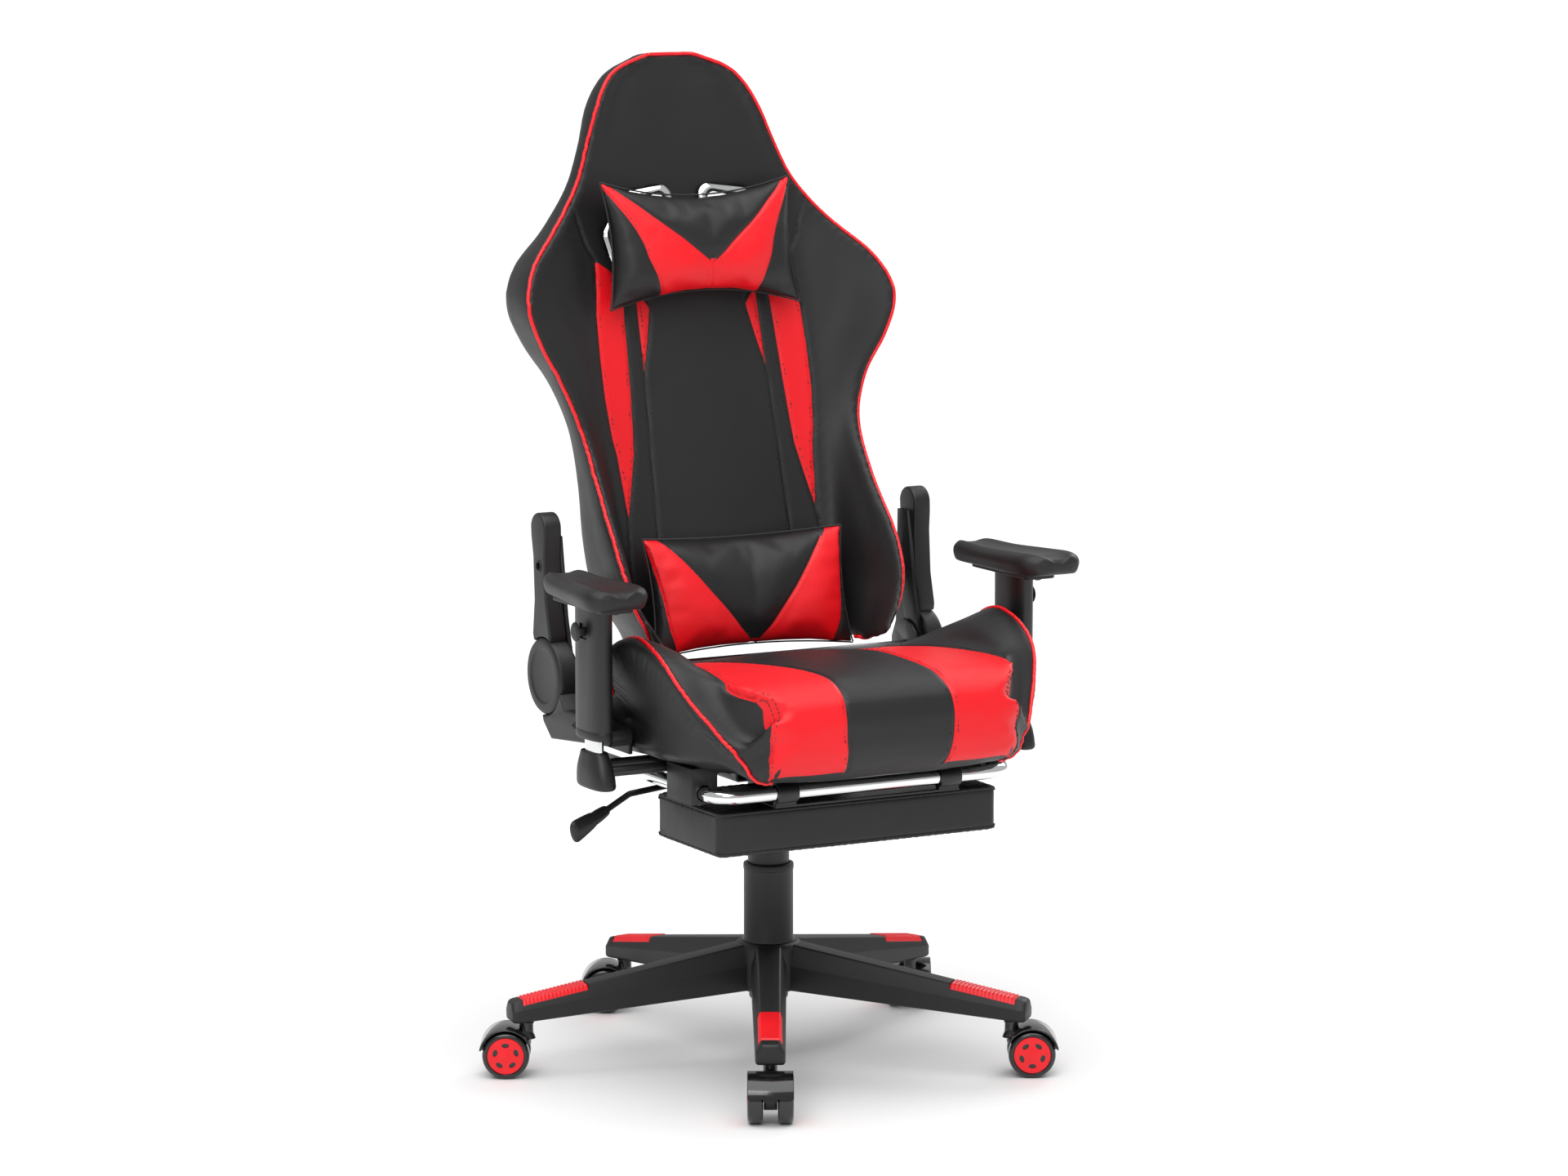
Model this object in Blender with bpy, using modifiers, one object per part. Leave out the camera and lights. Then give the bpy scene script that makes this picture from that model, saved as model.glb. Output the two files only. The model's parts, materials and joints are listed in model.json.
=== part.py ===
"""A racing-style gaming chair: star base on casters, gas lift, rocking mechanism, bucket seat,
reclining back with two pass-through holes, height-adjustable arms and a pull-out footrest.

Everything is built about the column's axis, with the seat facing -Y, and one parent empty then moves
the whole chair so that the middle of its box stands over the origin. Left is the -X side.
"""

import math

import bmesh
import bpy
from mathutils import Matrix, Vector

# Moves the column's axis so that the chair's box is centred on the origin
COLUMN_AT = Vector((0.0184, -0.0114, 0.0))

TOUCH = 0.0003  # gap between pieces that touch
RUN = 0.0004  # gap round a piece that turns or slides
ROUND_SIDES = 24
WHEEL_SIDES = 16

# Star base and casters
LEG_COUNT = 5
FIRST_LEG = math.radians(-28.0)  # turned from -Y towards +X
LEG_REACH = 0.345
LEG_TIP_TOP = 0.097
LEG_TIP_BOTTOM = 0.070
LEG_ROOT_HALF_WIDTH = 0.023
LEG_TIP_HALF_WIDTH = 0.0185
LEG_SHOULDER = 0.007  # how far the top is narrower on each side
HUB_RADIUS = 0.043
HUB_BOTTOM = 0.090
HUB_TOP = 0.153
INSERT_LENGTH = 0.086
INSERT_END = 0.014  # from the leg's end
INSERT_DEPTH = 0.006
WHEEL_RADIUS = 0.030
WHEEL_WIDTH = 0.0195
CASTER_WIDTH = 0.057
CASTER_TRAIL = 0.025
CASTER_YAWS = (-28.0, 61.6, 151.6, -118.4, -118.4)  # degrees, turned from -Y towards +X
STEM_RADIUS = 0.0050
STEM_DEPTH = 0.018
STEM_FROM_TIP = 0.022
AXLE_RADIUS = 0.0040

# Gas lift and its covers
GAS_RADIUS = 0.025
GAS_BOTTOM = 0.075
GAS_TOP = 0.262
ROD_RADIUS = 0.014
LOWER_COVER_RADIUS = 0.0323
LOWER_COVER_TOP = 0.254
UPPER_COVER_RADIUS = 0.0270
UPPER_COVER_BOTTOM = 0.1745

# Rocking mechanism under the seat
BOX_HALF_WIDTH = 0.075
BOX_BOTTOM = 0.372
BOX_TOP = 0.424
BOX_FRONT = -0.080
BOX_REAR = 0.075
BOX_STEP_Y = -0.055  # the box is shallower in front of this, over the footrest
BOX_STEP = 0.018
ROCK_Y = -0.050
ROCK_Z = 0.410
ROCK_RELIEF = math.radians(12.5)  # slope of the box's top, just over the rocking range
PIN_RADIUS = 0.0040
PLATE_THICK = 0.003
KNOB_Y = 0.025
KNOB_Z = 0.388
KNOB_RADIUS = 0.016
KNOB_LENGTH = 0.030
KNOB_STEM = 0.0050
LEVER_Y = -0.035
LEVER_Z = 0.388
LEVER_ROD = 0.0040
LEVER_SEAT = 0.016  # how far the lever's bore goes into the box
LEVER_BORE = 0.0075

# Seat
BOARD_THICK = 0.012
BOARD_HALF_WIDTH = 0.165
BOARD_FRONT = -0.235
BOARD_REAR = 0.085
SEAT_HALF_WIDTH = 0.280

# Recliner
RECLINE_Y = 0.080
RECLINE_Z = 0.505
SHAFT_RADIUS = 0.006
BRACKET_X = 0.2445  # inner face of the seat's bracket
BRACKET_THICK = 0.005
COVER_OUTER_X = 0.280
DISC_RADIUS = 0.049
UPPER_COVER_END = 0.711

# Back
BACK_BOTTOM = 0.545
BACK_HEIGHT = 0.731
BACK_HALF_WIDTH = 0.270
BACK_FOOT_Y = 0.083
BACK_SLOPE = 0.262
BACK_THICK = 0.060
FRAME_RADIUS = 0.008
FRAME_DEPTH = 0.034  # of the frame's middle behind the cushion's front
TRIM_BAND = 0.014
TRIM_PROUD = 0.002

# Pillows
NECK_HALF_WIDTH = 0.137
NECK_HALF_HEIGHT = 0.064
NECK_Z = 1.028
LUMBAR_HALF_WIDTH = 0.143
LUMBAR_HALF_HEIGHT = 0.068
LUMBAR_Z = 0.594
PILLOW_THICK = 0.066

# Arms
ARM_X = 0.300
ARM_Y = -0.105
SOCKET_BOTTOM = 0.396
SOCKET_TOP = 0.441
SLEEVE_BOTTOM = 0.457
SLEEVE_TOP = 0.621
POST_HALF = (0.007, 0.020)
SLEEVE_HALF = (0.0150, 0.0365)
ARM_PLATE_THICK = 0.005
ARM_PLATE = (0.022, 0.070, 0.075)  # half width, and reach in front of and behind the post
TRIGGER_Z = SLEEVE_TOP - 0.030
TRIGGER_STEM = (0.0070, 0.0050)  # half sizes in Y and Z
TRIGGER_PADDLE = (0.012, 0.009)
TRIGGER_POCKET = (0.0095, 0.0095)
PAD_THICK = 0.028
PAD_FRONT = -0.2035
PAD_REAR = 0.001
ARM_TUBE_RADIUS = 0.0065
ARM_TUBE_Z = 0.419
ARM_TUBE_SPREAD = 0.025

# Footrest
RAIL_X = 0.205
RAIL_Z = 0.397
RAIL_FRONT = -0.255
RAIL_REAR = 0.100
RAIL_RADIUS = 0.0095
FOOT_PAD_TOP = 0.3785
FOOT_PAD_BOTTOM = 0.315
FOOT_PAD_FRONT = -0.240
FOOT_PAD_REAR = -0.070
FOOT_PAD_HALF_WIDTH = 0.200

# Colour, roughness and metallic of each finish
FINISHES = {
    "black leather": ((0.018, 0.018, 0.020), 0.45, 0.0),
    "black nylon": ((0.012, 0.012, 0.013), 0.42, 0.0),
    "red plastic": ((0.80, 0.004, 0.012), 0.40, 0.0),
    "gloss black": ((0.010, 0.010, 0.011), 0.18, 0.0),
    "chrome": ((0.82, 0.83, 0.84), 0.08, 1.0),
    "black steel": ((0.015, 0.015, 0.016), 0.35, 0.6),
    "grey steel": ((0.45, 0.45, 0.46), 0.30, 1.0),
    "plywood": ((0.45, 0.30, 0.16), 0.70, 0.0),
    "black foam": ((0.020, 0.020, 0.022), 0.60, 0.0),
}


class Chair:
    """The collections, the parent empties and the ways in which pieces are added."""

    def __init__(self):
        for obj in list(bpy.data.objects):
            bpy.data.objects.remove(obj, do_unlink=True)
        self.parts = bpy.data.collections.new("gaming_chair")
        self.cutters = bpy.data.collections.new("cutters")
        for group in (self.parts, self.cutters):
            bpy.context.scene.collection.children.link(group)
        self.pivots = {}
        self.pivot("whole_chair", None, (0, 0, 0))
        self.pivots["whole_chair"].location = COLUMN_AT

    def pivot(self, name, parent, at):
        """An empty on a joint's axis, which the joint's pieces hang from."""
        empty = bpy.data.objects.new(name, None)
        empty.empty_display_size = 0.03
        self.parts.objects.link(empty)
        self.pivots[name] = empty
        empty["at"] = at
        if parent:
            empty.parent = self.pivots[parent]
            empty.location = Vector(at) - Vector(self.pivots[parent]["at"])

    def add(self, name, mesh, finish, body):
        """A visible piece, hung from its body's empty, with a material of its own."""
        obj = bpy.data.objects.new(name, mesh)
        self.parts.objects.link(obj)
        obj.parent = self.pivots[body]
        obj.matrix_parent_inverse = Matrix.Translation(-Vector(self.pivots[body]["at"]))
        colour, roughness, metallic = FINISHES[finish]
        material = bpy.data.materials.new(name)
        material.use_nodes = True
        shader = material.node_tree.nodes["Principled BSDF"]
        shader.inputs["Base Color"].default_value = (*colour, 1.0)
        shader.inputs["Roughness"].default_value = roughness
        shader.inputs["Metallic"].default_value = metallic
        material.diffuse_color = (*colour, 1.0)
        mesh.materials.append(material)
        mesh.shade_smooth()
        mesh.set_sharp_from_angle(angle=math.radians(35))
        return obj

    def helper(self, name, mesh):
        """A cutter, or a shape that is joined to a piece."""
        obj = bpy.data.objects.new(name, mesh)
        self.cutters.objects.link(obj)
        obj.parent = self.pivots["whole_chair"]
        obj.hide_render = True
        obj.display_type = "WIRE"
        return obj

    def _boolean(self, obj, mesh, operation):
        other = self.helper(f"{obj.name}_{operation.lower()}_{len(obj.modifiers)}", mesh)
        modifier = obj.modifiers.new(operation.title(), "BOOLEAN")
        modifier.operation = operation
        modifier.solver = "EXACT"
        modifier.object = other

    def cut(self, obj, mesh):
        self._boolean(obj, mesh, "DIFFERENCE")

    def join(self, obj, mesh):
        self._boolean(obj, mesh, "UNION")


def bevel(obj, width, segments=2):
    modifier = obj.modifiers.new("Bevel", "BEVEL")
    modifier.width = width
    modifier.segments = segments
    modifier.limit_method = "ANGLE"
    modifier.angle_limit = math.radians(40)
    return obj


def face_outwards(bm):
    bmesh.ops.recalc_face_normals(bm, faces=bm.faces)
    if bm.calc_volume(signed=True) < 0:
        bmesh.ops.reverse_faces(bm, faces=bm.faces)


def mesh_of(name, build):
    """A mesh filled by a function that works on a bmesh, with its normals facing out."""
    bm = bmesh.new()
    build(bm)
    face_outwards(bm)
    mesh = bpy.data.meshes.new(name)
    bm.to_mesh(mesh)
    bm.free()
    return mesh


def block(name, low, high):
    size = Vector(high) - Vector(low)
    middle = (Vector(high) + Vector(low)) / 2

    def build(bm):
        place = Matrix.Translation(middle) @ Matrix.Diagonal((*size, 1.0))
        bmesh.ops.create_cube(bm, size=1.0, matrix=place)

    return mesh_of(name, build)


def rod(name, start, end, radius, sides=16, end_radius=None):
    """A cylinder, or a cone, between two points."""
    start, end = Vector(start), Vector(end)
    turn = (end - start).to_track_quat("Z", "Y").to_matrix().to_4x4()

    def build(bm):
        bmesh.ops.create_cone(
            bm, cap_ends=True, segments=sides, radius1=radius, radius2=end_radius or radius,
            depth=(end - start).length, matrix=Matrix.Translation((start + end) / 2) @ turn,
        )

    return mesh_of(name, build)


def turned(name, profile, sides=ROUND_SIDES, turn=None):
    """A closed or axis-to-axis profile of (radius, height), turned about Z and then placed by a matrix."""
    closed = min(radius for radius, _ in profile) > 0

    def build(bm):
        verts = [bm.verts.new((radius, 0, height)) for radius, height in profile]
        edges = [bm.edges.new(pair) for pair in zip(verts, verts[1:])]
        if closed:
            edges.append(bm.edges.new((verts[-1], verts[0])))
        bmesh.ops.spin(
            bm, geom=verts + edges, axis=(0, 0, 1), cent=(0, 0, 0), angle=math.tau, steps=sides,
            use_merge=True,
        )
        bmesh.ops.remove_doubles(bm, verts=bm.verts, dist=1e-6)
        if turn:
            bm.transform(turn)

    return mesh_of(name, build)


def loft(name, rings):
    """A skin over rings of equal length, with the first and last ring filled."""

    def build(bm):
        rows = [[bm.verts.new(point) for point in ring] for ring in rings]
        for row, following in zip(rows, rows[1:]):
            for i, vert in enumerate(row):
                j = (i + 1) % len(row)
                bm.faces.new((vert, row[j], following[j], following[i]))
        bm.faces.new(rows[0])
        bm.faces.new(rows[-1])
        bmesh.ops.triangulate(bm, faces=bm.faces)

    return mesh_of(name, build)


def extruded(name, outline, axis, start, end):
    """A flat outline pushed along X, Y or Z. It holds the other two coordinates, in X, Y, Z order."""

    def at(point, depth):
        place = list(point)
        place.insert("XYZ".index(axis), depth)
        return place

    def build(bm):
        bottom = bm.faces.new([bm.verts.new(at(point, start)) for point in outline])
        moved = bmesh.ops.extrude_face_region(bm, geom=[bottom])["geom"]
        verts = [item for item in moved if isinstance(item, bmesh.types.BMVert)]
        push = Vector((0, 0, 0))
        push["XYZ".index(axis)] = end - start
        bmesh.ops.translate(bm, verts=verts, vec=push)

    return mesh_of(name, build)


def rounded(corners, radius, steps=3, closed=True):
    """The corners with an arc of this radius in place of each, cut down where an edge is short."""
    points = []
    count = len(corners)
    for i, corner in enumerate(corners):
        if not closed and i in (0, count - 1):
            points.append(Vector(corner))
            continue
        here = Vector(corner)
        back = Vector(corners[i - 1]) - here
        ahead = Vector(corners[(i + 1) % count]) - here
        half = back.angle(ahead) / 2
        reach = min(radius / math.tan(half), 0.45 * back.length, 0.45 * ahead.length)
        bend = reach * math.tan(half)
        bisector = (back.normalized() + ahead.normalized()).normalized()
        centre = here + bisector * (bend / math.sin(half))
        first = here + back.normalized() * reach - centre
        last = here + ahead.normalized() * reach - centre
        for step in range(steps + 1):
            share = step / steps
            arm = first * (1 - share) + last * share
            points.append(centre + arm.normalized() * bend)
    return points


def arc(centre, radius, first, last, steps):
    """Points on an arc in a plane, with its angles in degrees."""
    turns = (math.radians(first + (last - first) * i / steps) for i in range(steps + 1))
    return [(centre[0] + radius * math.cos(t), centre[1] + radius * math.sin(t)) for t in turns]


def oval(centre, half, height, sides=16, power=2.6):
    """A squarish ellipse in the XY plane."""
    ring = []
    for i in range(sides):
        turn = math.tau * (i + 0.5) / sides
        c, s = math.cos(turn), math.sin(turn)
        ring.append((
            centre[0] + half[0] * math.copysign(abs(c) ** (2 / power), c),
            centre[1] + half[1] * math.copysign(abs(s) ** (2 / power), s),
            height,
        ))
    return ring


def tube(name, points, radius, resolution=2):
    """A bent tube: a curve with filled caps, made into a welded mesh."""
    curve = bpy.data.curves.new(name, "CURVE")
    curve.dimensions = "3D"
    curve.bevel_depth = radius
    curve.bevel_resolution = resolution
    curve.use_fill_caps = True
    spline = curve.splines.new("POLY")
    spline.points.add(len(points) - 1)
    for place, point in zip(spline.points, points):
        place.co = (*point, 1.0)
    wire = bpy.data.objects.new(name, curve)
    bpy.context.scene.collection.objects.link(wire)
    graph = bpy.context.evaluated_depsgraph_get()
    mesh = bpy.data.meshes.new_from_object(wire.evaluated_get(graph))
    bpy.data.objects.remove(wire)
    bm = bmesh.new()
    bm.from_mesh(mesh)
    bmesh.ops.remove_doubles(bm, verts=bm.verts, dist=1e-6)
    face_outwards(bm)
    bm.to_mesh(mesh)
    bm.free()
    return mesh


def spread(rows, at):
    """Straight-line interpolation in rows of (place, value, ...)."""
    for low, high in zip(rows, rows[1:]):
        if at <= high[0]:
            share = max(0.0, (at - low[0]) / (high[0] - low[0]))
            return [a + (b - a) * share for a, b in zip(low[1:], high[1:])]
    return list(rows[-1][1:])


def heading(yaw):
    """The level direction that is turned by yaw from -Y towards +X."""
    return Vector((math.sin(yaw), -math.cos(yaw), 0.0))


def sides():
    """The two sides of the chair: the name's ending, and the sign of X."""
    return (("left", -1), ("right", 1))


# ---- star base -------------------------------------------------------------------------------------


def leg_top(reach):
    """Height of a leg's top ridge at a distance from the column."""
    root = HUB_TOP - 0.003
    return root + (LEG_TIP_TOP - root) * (reach - HUB_RADIUS) / (LEG_REACH - HUB_RADIUS)


def leg_section(reach, yaw, lowered=0.0, cap=0.0):
    """Six points round a leg: flat underside, upright sides and a narrower top."""
    share = reach / LEG_REACH
    half = LEG_ROOT_HALF_WIDTH + (LEG_TIP_HALF_WIDTH - LEG_ROOT_HALF_WIDTH) * share - cap
    bottom = HUB_BOTTOM + 0.004 + (LEG_TIP_BOTTOM - HUB_BOTTOM - 0.004) * share + cap
    top = leg_top(reach) - cap
    shoulder = bottom + (top - bottom) * 0.55
    slant = LEG_SHOULDER * (1 - lowered / (top - shoulder))
    out, across = heading(yaw), heading(yaw + math.pi / 2)
    outline = ((-half, bottom), (half, bottom), (half, shoulder), (half - slant, top - lowered),
               (slant - half, top - lowered), (-half, shoulder))
    return [out * reach + across * side + Vector((0, 0, height)) for side, height in outline]


def insert_section(reach, yaw, trim):
    """Four points round an insert, which completes the leg's narrowed top."""
    lower = leg_section(reach, yaw, INSERT_DEPTH - TOUCH)
    upper = leg_section(reach, yaw)
    lift = Vector((0, 0, 0.0012 - trim))
    return [lower[4], lower[3], upper[3] + lift, upper[4] + lift]


def build_base(chair):
    bore = GAS_RADIUS + TOUCH
    hub = turned("hub", [
        (bore, HUB_TOP), (HUB_RADIUS - 0.006, HUB_TOP), (HUB_RADIUS, HUB_TOP - 0.006),
        (HUB_RADIUS, HUB_BOTTOM + 0.008), (HUB_RADIUS - 0.006, HUB_BOTTOM), (bore, HUB_BOTTOM),
    ], 30)
    base = chair.add("star_base", hub, "black nylon", "whole_chair")
    insert_to = LEG_REACH - INSERT_END
    insert_from = insert_to - INSERT_LENGTH
    step = 0.0002
    for i in range(LEG_COUNT):
        yaw = FIRST_LEG + i * math.tau / LEG_COUNT
        rings = [
            leg_section(bore + 0.007, yaw), leg_section(insert_from - step, yaw),
            leg_section(insert_from, yaw, INSERT_DEPTH), leg_section(insert_to, yaw, INSERT_DEPTH),
            leg_section(insert_to + step, yaw), leg_section(LEG_REACH - 0.005, yaw),
            leg_section(LEG_REACH, yaw, cap=0.004),
        ]
        chair.join(base, loft(f"leg_{i}", rings))
        insert = [
            insert_section(insert_from + 2 * TOUCH, yaw, 0.0012),
            insert_section(insert_from + 0.003, yaw, 0.0),
            insert_section(insert_to - 0.003, yaw, 0.0),
            insert_section(insert_to - 2 * TOUCH, yaw, 0.0012),
        ]
        chair.add(f"leg_insert_{i + 1}", loft(f"leg_insert_{i + 1}", insert), "red plastic", "whole_chair")
        stem = heading(yaw) * (LEG_REACH - STEM_FROM_TIP)
        low = stem + Vector((0, 0, LEG_TIP_BOTTOM - 0.01))
        high = stem + Vector((0, 0, LEG_TIP_BOTTOM + STEM_DEPTH + 2 * TOUCH))
        chair.cut(base, rod(f"stem_bore_{i}", low, high, STEM_RADIUS + RUN, 12))
        build_caster(chair, i + 1, stem, math.radians(CASTER_YAWS[i]))


def build_caster(chair, number, stem, yaw):
    """A hood that swivels on a stem, and twin wheels on one axle."""
    out, across = heading(yaw), heading(yaw + math.pi / 2)
    axle = stem + out * CASTER_TRAIL + Vector((0, 0, WHEEL_RADIUS))
    swivel, spin = f"caster_swivel_{number}", f"caster_spin_{number}"
    chair.pivot(swivel, "whole_chair", tuple(stem))
    chair.pivot(spin, swivel, tuple(axle))
    facing = Matrix((
        (*across, 0.0), (*Vector((0, 0, 1)).cross(across), 0.0), (0.0, 0.0, 1.0, 0.0), (0.0, 0.0, 0.0, 1.0),
    )).transposed()

    def placed(mesh, centre):
        mesh.transform(Matrix.Translation(centre) @ facing)
        return mesh

    half = CASTER_WIDTH / 2
    gap = half - WHEEL_WIDTH
    inner, outer = WHEEL_RADIUS + 0.0020, WHEEL_RADIUS + 0.0044
    band = arc((0, 0), outer, 28, 168, 6) + arc((0, 0), inner, 168, 28, 6)
    hood = placed(extruded(f"caster_hood_{number}", band, "X", -half, half), axle)
    hood = chair.add(f"caster_hood_{number}", hood, "gloss black", swivel)
    web = arc((0, 0), WHEEL_RADIUS + 0.0032, 22, 174, 6) + [(-0.016, -0.010), (0.0, -0.014), (0.014, -0.006)]
    chair.join(hood, placed(extruded("web", web, "X", -gap + RUN, gap - RUN), axle))
    boss_low = stem + Vector((0, 0, WHEEL_RADIUS + 0.016))
    boss_high = stem + Vector((0, 0, LEG_TIP_BOTTOM - RUN))
    chair.join(hood, rod("boss", boss_low, boss_high, 0.0088, 16))
    chair.join(hood, rod("stem", stem + Vector((0, 0, LEG_TIP_BOTTOM - 0.008)),
                         stem + Vector((0, 0, LEG_TIP_BOTTOM + STEM_DEPTH)), STEM_RADIUS, 12))
    chair.cut(hood, placed(rod("axle_bore", (-half, 0, 0), (half, 0, 0), AXLE_RADIUS + RUN, 12), axle))
    rim = WHEEL_RADIUS / math.cos(math.pi / WHEEL_SIDES)  # so that the lowest flat is on the floor
    profile = [
        (0.0, half), (rim - 0.0035, half), (rim, half - 0.004), (rim, gap + 0.002), (rim - 0.002, gap),
        (AXLE_RADIUS, gap),
    ]
    profile += [(radius, -height) for radius, height in reversed(profile)]
    lay = facing @ Matrix.Rotation(math.pi / 2, 4, "Y") @ Matrix.Rotation(math.pi / WHEEL_SIDES, 4, "Z")
    wheels = turned(f"caster_wheels_{number}", profile, WHEEL_SIDES, Matrix.Translation(axle) @ lay)
    chair.add(f"caster_wheels_{number}", wheels, "gloss black", spin)


# ---- gas lift --------------------------------------------------------------------------------------


def build_column(chair):
    chair.pivot("column", "whole_chair", (0, 0, 0))
    bore = ROD_RADIUS + RUN
    rod_bottom, bore_bottom = GAS_BOTTOM + 0.035, GAS_BOTTOM + 0.007
    chair.add("gas_cylinder", turned("gas_cylinder", [
        (0.0, bore_bottom), (bore, bore_bottom), (bore, GAS_TOP), (GAS_RADIUS, GAS_TOP),
        (GAS_RADIUS, GAS_BOTTOM + 0.004), (GAS_RADIUS - 0.004, GAS_BOTTOM), (0.0, GAS_BOTTOM),
    ]), "black steel", "whole_chair")
    chair.add("inner_column", turned("inner_column", [
        (0.0, BOX_BOTTOM + 0.026), (ROD_RADIUS - 0.002, BOX_BOTTOM + 0.026),
        (ROD_RADIUS, BOX_BOTTOM + 0.024), (ROD_RADIUS, rod_bottom), (0.0, rod_bottom),
    ]), "chrome", "column")

    def cover(name, inner, outer, low, high, body):
        lip = 0.0012
        chair.add(name, turned(name, [
            (inner, high), (outer - lip, high), (outer, high - lip),
            (outer, low + lip), (outer - lip, low), (inner, low),
        ]), "black nylon", body)

    cover("column_cover_lower", UPPER_COVER_RADIUS + 0.0008, LOWER_COVER_RADIUS,
          HUB_TOP + TOUCH, LOWER_COVER_TOP, "whole_chair")
    cover("column_cover_upper", GAS_RADIUS + RUN, UPPER_COVER_RADIUS,
          UPPER_COVER_BOTTOM, BOX_BOTTOM - 2 * TOUCH, "column")


# ---- rocking mechanism -----------------------------------------------------------------------------


def build_mechanism(chair):
    chair.pivot("mechanism", "column", (0, 0, BOX_BOTTOM))
    chair.pivot("tension", "mechanism", (0, KNOB_Y, KNOB_Z))
    chair.pivot("lift", "mechanism", (-BOX_HALF_WIDTH, LEVER_Y, LEVER_Z))
    rear_top = BOX_TOP - (BOX_REAR - ROCK_Y) * math.tan(ROCK_RELIEF)
    outline = [
        (BOX_FRONT, BOX_BOTTOM + BOX_STEP), (BOX_STEP_Y, BOX_BOTTOM + BOX_STEP), (BOX_STEP_Y, BOX_BOTTOM),
        (BOX_REAR, BOX_BOTTOM), (BOX_REAR, rear_top), (ROCK_Y, BOX_TOP), (BOX_FRONT, BOX_TOP),
    ]
    box = extruded("tilt_box", outline, "X", -BOX_HALF_WIDTH, BOX_HALF_WIDTH)
    box = bevel(chair.add("tilt_box", box, "black steel", "mechanism"), 0.003, 1)
    column_top = BOX_BOTTOM + 0.026
    chair.cut(box, rod("column_bore", (0, 0, BOX_BOTTOM - 0.01), (0, 0, column_top + RUN),
                       ROD_RADIUS + RUN, 24))
    pin_bore = PIN_RADIUS + RUN
    chair.cut(box, rod("pin_bore", (-0.1, ROCK_Y, ROCK_Z), (0.1, ROCK_Y, ROCK_Z), pin_bore))
    chair.cut(box, rod("lever_bore", (-0.1, LEVER_Y, LEVER_Z),
                       (LEVER_SEAT - BOX_HALF_WIDTH, LEVER_Y, LEVER_Z), LEVER_BORE))
    chair.cut(box, rod("knob_bore", (0.1, KNOB_Y, KNOB_Z), (BOX_HALF_WIDTH - 0.012, KNOB_Y, KNOB_Z),
                       KNOB_STEM + RUN, 12))

    start = BOX_HALF_WIDTH + 2 * TOUCH
    lay = Matrix.Translation((0, KNOB_Y, KNOB_Z)) @ Matrix.Rotation(math.pi / 2, 4, "Y")
    knob = turned("tension_knob", [
        (0.0, start + KNOB_LENGTH), (KNOB_RADIUS - 0.004, start + KNOB_LENGTH),
        (KNOB_RADIUS, start + KNOB_LENGTH - 0.004), (KNOB_RADIUS, start + 0.006),
        (KNOB_RADIUS - 0.004, start),
        (KNOB_STEM, start), (KNOB_STEM, BOX_HALF_WIDTH - 0.011), (0.0, BOX_HALF_WIDTH - 0.011),
    ], 16, lay)
    chair.add("tension_knob", knob, "black nylon", "tension")

    route = lever_route()
    chair.add("lift_lever", tube("lift_lever", rounded(route, 0.02, 3, closed=False), LEVER_ROD),
              "black steel", "lift")
    build_grip(chair, Vector(route[-2]), Vector(route[-1]))


def lever_route():
    """Centre line of the lift lever, from inside the mechanism to the end in its grip."""
    side = -BOX_HALF_WIDTH
    return [
        (side + LEVER_SEAT - 0.002, LEVER_Y, LEVER_Z), (side - 0.006, LEVER_Y, LEVER_Z),
        (side - 0.076, LEVER_Y - 0.005, LEVER_Z - 0.012), (side - 0.149, LEVER_Y - 0.015, LEVER_Z - 0.017),
        (side - 0.200, LEVER_Y - 0.037, LEVER_Z - 0.034),
    ]


def build_grip(chair, bend, end):
    """A flared paddle on the end of the lift lever, which droops along the lever's last stretch."""
    along = (end - bend).normalized()
    wide = along.cross(Vector((0, 0, 1))).normalized()
    thick = wide.cross(along)
    rings = []
    for distance, half_wide, half_thick in (
        (-0.010, 0.0070, 0.0070), (0.004, 0.0085, 0.0075), (0.016, 0.0090, 0.0075), (0.020, 0.0110, 0.0070),
        (0.050, 0.0145, 0.0065), (0.056, 0.0110, 0.0045),
    ):
        middle = end + along * distance
        rings.append([
            middle + wide * half_wide * math.cos(turn) + thick * half_thick * math.sin(turn)
            for turn in (math.tau * (i + 0.5) / 12 for i in range(12))
        ])
    grip = chair.add("lever_grip", loft("lever_grip", rings), "black nylon", "lift")
    chair.cut(grip, rod("grip_bore", end - along * 0.03, end + along * TOUCH * 2, LEVER_ROD + RUN, 12))


# ---- seat ------------------------------------------------------------------------------------------


def plate_bottom():
    return BOX_TOP + 0.0015


def board_bottom():
    return plate_bottom() + PLATE_THICK + TOUCH + 0.0002


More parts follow.
